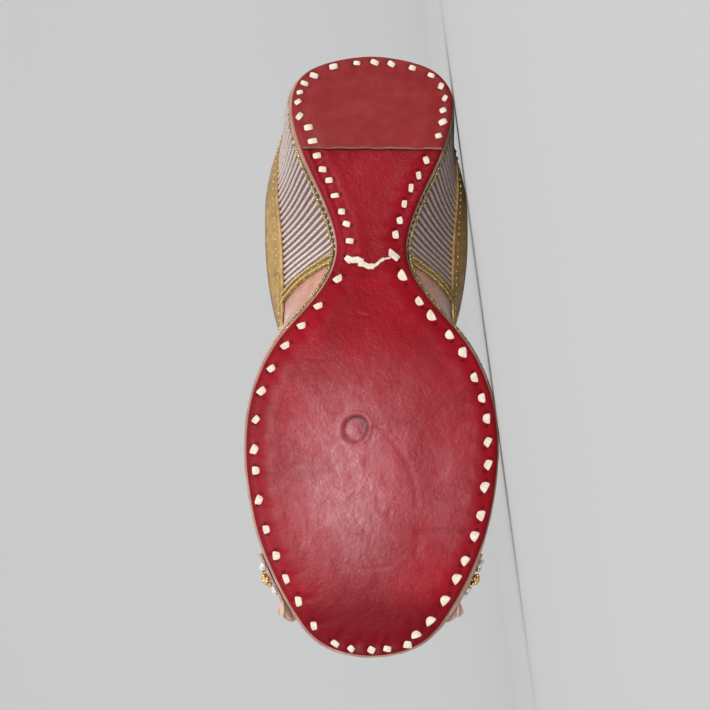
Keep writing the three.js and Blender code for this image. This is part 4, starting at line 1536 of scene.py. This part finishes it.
# %% Lines over the vamp
GARLAND_FOOT = 0.08


def over_vamp(y, share, outwards):
    """Point and normal on a line over the vamp, share 0 at its low end on the +X side."""
    from_side = 1 - abs(2 * share - 1)
    first = turning_value(0, 1, lambda p: on_section(upper_section(p), GARLAND_FOOT).y < y)
    place = first + (1 - first) * from_side ** 2
    points = upper_section(place)
    up = turning_value(GARLAND_FOOT, 1, lambda u: on_section(points, u).y > y)
    return upper_at(place if share <= 0.5 else 2 - place, up, outwards)


def even_line(y, outwards, pitch):
    """Points, normals and directions at even steps along a line over the vamp."""
    fine = [over_vamp(y, share, outwards) for share in spread(0, 1, 90)]
    steps = evenly_along(fine, lambda length: max(2, round(length / pitch)))
    return [(spot, normal, along) for _, spot, normal, along in steps]


BED = FIT_GAP + GARLAND_THICKNESS
BACK_Y = GARLAND_Y - GARLAND_WIDTH / 2
FRONT_Y = GARLAND_Y + GARLAND_WIDTH / 2

# %% Band, beads and crystals
# Heaps of beads: each next bead lies one turn on, farther out and lower
HEAP_PITCH = 4.6
HEAP_LIFT = 0.3
HEAP_TOP = 1.35
HEAP_SLOPE = 0.11
BEADS_PER_HEAP = 11
BEAD_TURN = 2.4
BEAD_TURN_SWAY = 0.3
BEAD_REACH = 0.62
BEAD_RADII = (0.58, 0.8)
# Cut stones on a heap's flanks
STONES_PER_FLANK = 3
STONE_SHIFT = 1.7
STONE_FROM_MIDDLE = (2.9, 6.2)
STONE_RADII = (0.85, 1.3)
STONE_LIFT = 0.25
STONE_TILT = 0.4
# Rows of seed beads near both edges of the band
SEED_ROW_INSET = 4.4
SEED_PITCH = 1.3
SEED_LIFT = 0.6
SEED_RADIUS = 0.55
SEED_SWAY = 0.5
SEED_SIZES = (0.8, 1.25)


def make_toe_cloth():
    obj = copy_of_node("toe_band", "toe_cloth")
    hold_edges(obj, 50)
    subdivide(obj, 2)
    waver(obj, 0.08, 0.6)
    return obj


def model_bead():
    """A round bead with a flat at each thread hole."""
    flat = 0.88
    bpy.ops.mesh.primitive_uv_sphere_add(segments=12, ring_count=8, radius=1)
    obj = bpy.context.view_layer.objects.active
    for vertex in obj.data.vertices:
        vertex.co.z = max(-flat, min(flat, vertex.co.z))
    return obj


def model_crystal():
    """A cut stone: an eight-sided dome with a flat table on top."""
    bpy.ops.mesh.primitive_cone_add(vertices=8, radius1=1, radius2=0.55, depth=0.7)
    obj = bpy.context.view_layer.objects.active
    bpy.ops.object.mode_set(mode="EDIT")
    bpy.ops.mesh.select_all(action="SELECT")
    bpy.ops.mesh.bevel(offset=0.12, segments=1, affect="EDGES")
    bpy.ops.object.mode_set(mode="OBJECT")
    return obj


def make_seed_beads(name, y, seed):
    hand = random.Random(seed)
    placings = []
    for spot, normal, along in even_line(y, BED + SEED_LIFT, SEED_PITCH):
        across = normal.cross(along)
        shift = across * hand.uniform(-SEED_SWAY, SEED_SWAY)
        shift += along * hand.uniform(-SEED_SWAY, SEED_SWAY) * 0.5
        size = SEED_RADIUS * hand.uniform(*SEED_SIZES)
        placings.append(placing(spot + shift, normal, along, (size,) * 3))
    print(name, len(placings))
    return stamp_copies(name, model_bead(), placings)


def garland_cluster(spot, normal, along, hand, beads, stones):
    """One motif: a heap of small gold beads with cut stones on both its flanks."""
    across = normal.cross(along)
    for k in range(BEADS_PER_HEAP):
        angle = k * BEAD_TURN + hand.uniform(-BEAD_TURN_SWAY, BEAD_TURN_SWAY)
        reach = BEAD_REACH * math.sqrt(k)
        lift = HEAP_TOP - HEAP_SLOPE * k
        out = along * math.cos(angle) + across * math.sin(angle)
        size = hand.uniform(*BEAD_RADII)
        beads.append(placing(spot + out * reach + normal * lift, normal, out, (size,) * 3))
    for side in (-1, 1):
        for _ in range(STONES_PER_FLANK):
            shift = along * hand.uniform(-STONE_SHIFT, STONE_SHIFT)
            shift += across * side * hand.uniform(*STONE_FROM_MIDDLE)
            size = hand.uniform(*STONE_RADII)
            tilt = (normal + along * hand.uniform(-STONE_TILT, STONE_TILT)).normalized()
            stone_spot = spot + shift + normal * STONE_LIFT
            stones.append(placing(stone_spot, tilt, along, (size,) * 3))


def make_garland():
    hand = random.Random(21)
    beads, stones = [], []
    for spot, normal, along in even_line(GARLAND_Y, BED + HEAP_LIFT, HEAP_PITCH):
        garland_cluster(spot, normal, along, hand, beads, stones)
    print("garland beads", len(beads), "stones", len(stones))
    return (stamp_copies("gold_beads", model_bead(), beads),
            stamp_copies("crystals", model_crystal(), stones))


finish_piece(make_toe_cloth(), petal_cloth, ["toe_band"])
gold_beads, crystals = make_garland()
finish_piece(gold_beads, gold_bead, ["bead_string"])
finish_piece(crystals, crystal, smooth=False)
finish_piece(make_seed_beads("seed_beads_back", BACK_Y + SEED_ROW_INSET, 4), gold_bead)
finish_piece(make_seed_beads("seed_beads_front", FRONT_Y - SEED_ROW_INSET, 6), gold_bead)

# %% Petals
PETAL_PITCH = 5.0
PETAL_THICKNESS = 0.2
PETAL_SWAY = 0.08
PETAL_SIZES = (0.93, 1.07)
# How deep in the band a petal's root lies, and how the two end petals differ from the others
PETAL_ROOT = 0.6
END_LEAN = 0.5
END_SIZE = 0.95
# The two rows: Y, lean from the vamp in radians, size and the seed of their unevenness
FRONT_PETALS = (FRONT_Y - 0.3, 0.62, 3.5, 12)
UNDER_PETALS = (FRONT_Y + 0.2, 0.22, 3.9, 13)


def model_petal():
    """A round cupped petal, from a grid that is rounded, thickened and smoothed."""
    bpy.ops.mesh.primitive_grid_add(x_subdivisions=6, y_subdivisions=6, size=2)
    obj = bpy.context.view_layer.objects.active
    root_width, swell, length, rounding = 0.45, 0.5, 1.6, 0.3
    cup_across, cup_along = 0.16, 0.22
    for vertex in obj.data.vertices:
        x, y, _ = vertex.co
        reach = (y + 1) / 2
        width = root_width + swell * math.sin(math.pi * min(0.1 + reach * 0.6, 1))
        tip = 1 - rounding * x * x * reach
        cup = cup_across * x * x + cup_along * reach ** 2
        vertex.co = (x * width, reach * tip * length, cup)
    modifier = obj.modifiers.new("thickness", "SOLIDIFY")
    modifier.thickness = PETAL_THICKNESS
    activate(obj)
    bpy.ops.object.modifier_apply(modifier=modifier.name)
    subdivide(obj, 1)
    return obj


def make_petals(name, y, lean, size, seed, between):
    """A row of petals that point to the toe. One row stands between those of the other."""
    hand = random.Random(seed)
    line = even_line(y, BED * PETAL_ROOT, PETAL_PITCH)
    if between:
        line = [(a[0].lerp(b[0], 0.5), a[1].lerp(b[1], 0.5), a[2]) for a, b in zip(line, line[1:])]
    placings = []
    for k, (spot, normal, along) in enumerate(line):
        forward = normal.cross(along)
        if forward.y < 0:
            forward = -forward
        at_end = k in (0, len(line) - 1)
        angle = (END_LEAN if at_end else 1) * lean + hand.uniform(-PETAL_SWAY, PETAL_SWAY)
        out = forward * math.cos(angle) + normal * math.sin(angle)
        up = normal * math.cos(angle) - forward * math.sin(angle)
        across = out.cross(up)
        grown = (END_SIZE if at_end else 1) * size * hand.uniform(*PETAL_SIZES)
        matrix = Matrix((across, out, up)).transposed().to_4x4() @ Matrix.Scale(grown, 4)
        matrix.translation = spot
        placings.append(matrix)
    return stamp_copies(name, model_petal(), placings)


finish_piece(make_petals("petals", *FRONT_PETALS, between=False), petal_cloth,
             ["petal_frill"])
finish_piece(make_petals("petals_under", *UNDER_PETALS, between=True), petal_cloth)

# %% [markdown]
# ## Floor, backdrop and light
#
# The ground of the photograph is an even pale grey. The floor rises far behind the shoe in
# a wide curve into a backdrop of the same matt paint. A very wide sun lights the floor alike
# near and far, from the side that is the left of the picture. A soft lamp high in front
# shapes the sole, and a small one low in front reaches the side that lies over the floor.

# %% Floor and backdrop
GROUND_TONE = (0.52, 0.52, 0.52)
# The sheet in metres: where it begins, where it bends up, how wide it is and how high it ends
FLOOR_FRONT = -6.0
FLOOR_HALF_WIDTH = 9.0
BEND_START = 3.0
BEND_RADIUS = 2.5
BEND_STEPS = 60
BACKDROP_TOP = 6.0


def make_ground():
    """A sheet of paper that lies flat, bends up behind the shoe and goes on upwards."""
    near_the_shoe = [0.2 * i for i in range(-10, 14)]
    profile = [(y, 0.0) for y in (FLOOR_FRONT, *near_the_shoe, BEND_START)]
    for i in range(1, BEND_STEPS + 1):
        angle = math.pi / 2 * (i / BEND_STEPS) ** 1.5
        profile.append((BEND_START + BEND_RADIUS * math.sin(angle),
                        BEND_RADIUS * (1 - math.cos(angle))))
    profile.append((BEND_START + BEND_RADIUS, BACKDROP_TOP))
    bpy.ops.mesh.primitive_grid_add(x_subdivisions=1, y_subdivisions=len(profile) - 1, size=2)
    obj = bpy.context.view_layer.objects.active
    obj.name = "ground"
    for vertex in obj.data.vertices:
        y, z = profile[round((vertex.co.y + 1) / 2 * (len(profile) - 1))]
        vertex.co = (vertex.co.x * FLOOR_HALF_WIDTH, y, z)
    obj.data.polygons.foreach_set("use_smooth", [True] * len(obj.data.polygons))
    return obj


def make_ground_paint():
    material = bpy.data.materials.new("ground_paint")
    material.use_nodes = True
    tree = material.node_tree
    shader = tree.nodes["Principled BSDF"]
    shader.inputs["Roughness"].default_value = 1.0
    shader.inputs["Specular IOR Level"].default_value = 0.0
    coordinates = tree.nodes.new("ShaderNodeTexCoord")
    speckle = tree.nodes.new("ShaderNodeTexNoise")
    speckle.inputs["Scale"].default_value = 1.0
    ramp = tree.nodes.new("ShaderNodeValToRGB")
    ramp.color_ramp.elements[0].color = (*[c * 0.97 for c in GROUND_TONE], 1)
    ramp.color_ramp.elements[1].color = (*[c * 1.02 for c in GROUND_TONE], 1)
    tree.links.new(coordinates.outputs["Object"], speckle.inputs["Vector"])
    tree.links.new(speckle.outputs["Fac"], ramp.inputs["Fac"])
    tree.links.new(ramp.outputs["Color"], shader.inputs["Base Color"])
    return material


ground = make_ground()
ground.data.materials.append(make_ground_paint())
print("ground", len(ground.data.polygons), "faces")

# %% Lights
SHOE_MIDDLE = Vector((0, 0, 0.04))


def place_lamp(data, spot, target):
    """Puts a lamp at a spot and turns it to its target."""
    lamp = bpy.data.objects.new(data.name, data)
    bpy.context.scene.collection.objects.link(lamp)
    lamp.location = spot
    lamp.rotation_mode = "QUATERNION"
    lamp.rotation_quaternion = (target - spot).to_track_quat("-Z", "Y")


def add_lamp(name, spot, size, power):
    data = bpy.data.lights.new(name, "AREA")
    data.shape = "SQUARE"
    data.size = size
    data.energy = power
    place_lamp(data, Vector(spot), SHOE_MIDDLE)


def add_sun(name, way, spread_angle, power):
    """A very far and very wide lamp, so that the ground is lit alike near and far."""
    data = bpy.data.lights.new(name, "SUN")
    data.angle = spread_angle
    data.energy = power
    place_lamp(data, Vector(way) * 2, Vector((0, 0, 0)))


def light_world(colour, strength):
    world = bpy.data.worlds.new("studio")
    world.use_nodes = True
    background = world.node_tree.nodes["Background"]
    background.inputs["Color"].default_value = (*colour, 1)
    background.inputs["Strength"].default_value = strength
    bpy.context.scene.world = world


add_sun("sky_lamp", (0.1, -0.5, 0.86), math.radians(70), 1.25)
add_lamp("front_lamp", (-0.3, -4.0, 0.95), 1.6, 36)
add_lamp("low_lamp", (0.1, -3.0, 0.2), 0.38, 30)
light_world((0.98, 0.99, 1.0), 0.75)
bpy.context.scene.view_settings.view_transform = "Standard"
print("lamps", len(bpy.data.lights))

# %% [markdown]
#
# The box of the solids is printed. The dressed shoe must stay within the solids' box,
# give or take what cloth stands proud.

# %% Finish
print("cad box", [round(c, 4) for c in (*cad_low, *cad_high)])
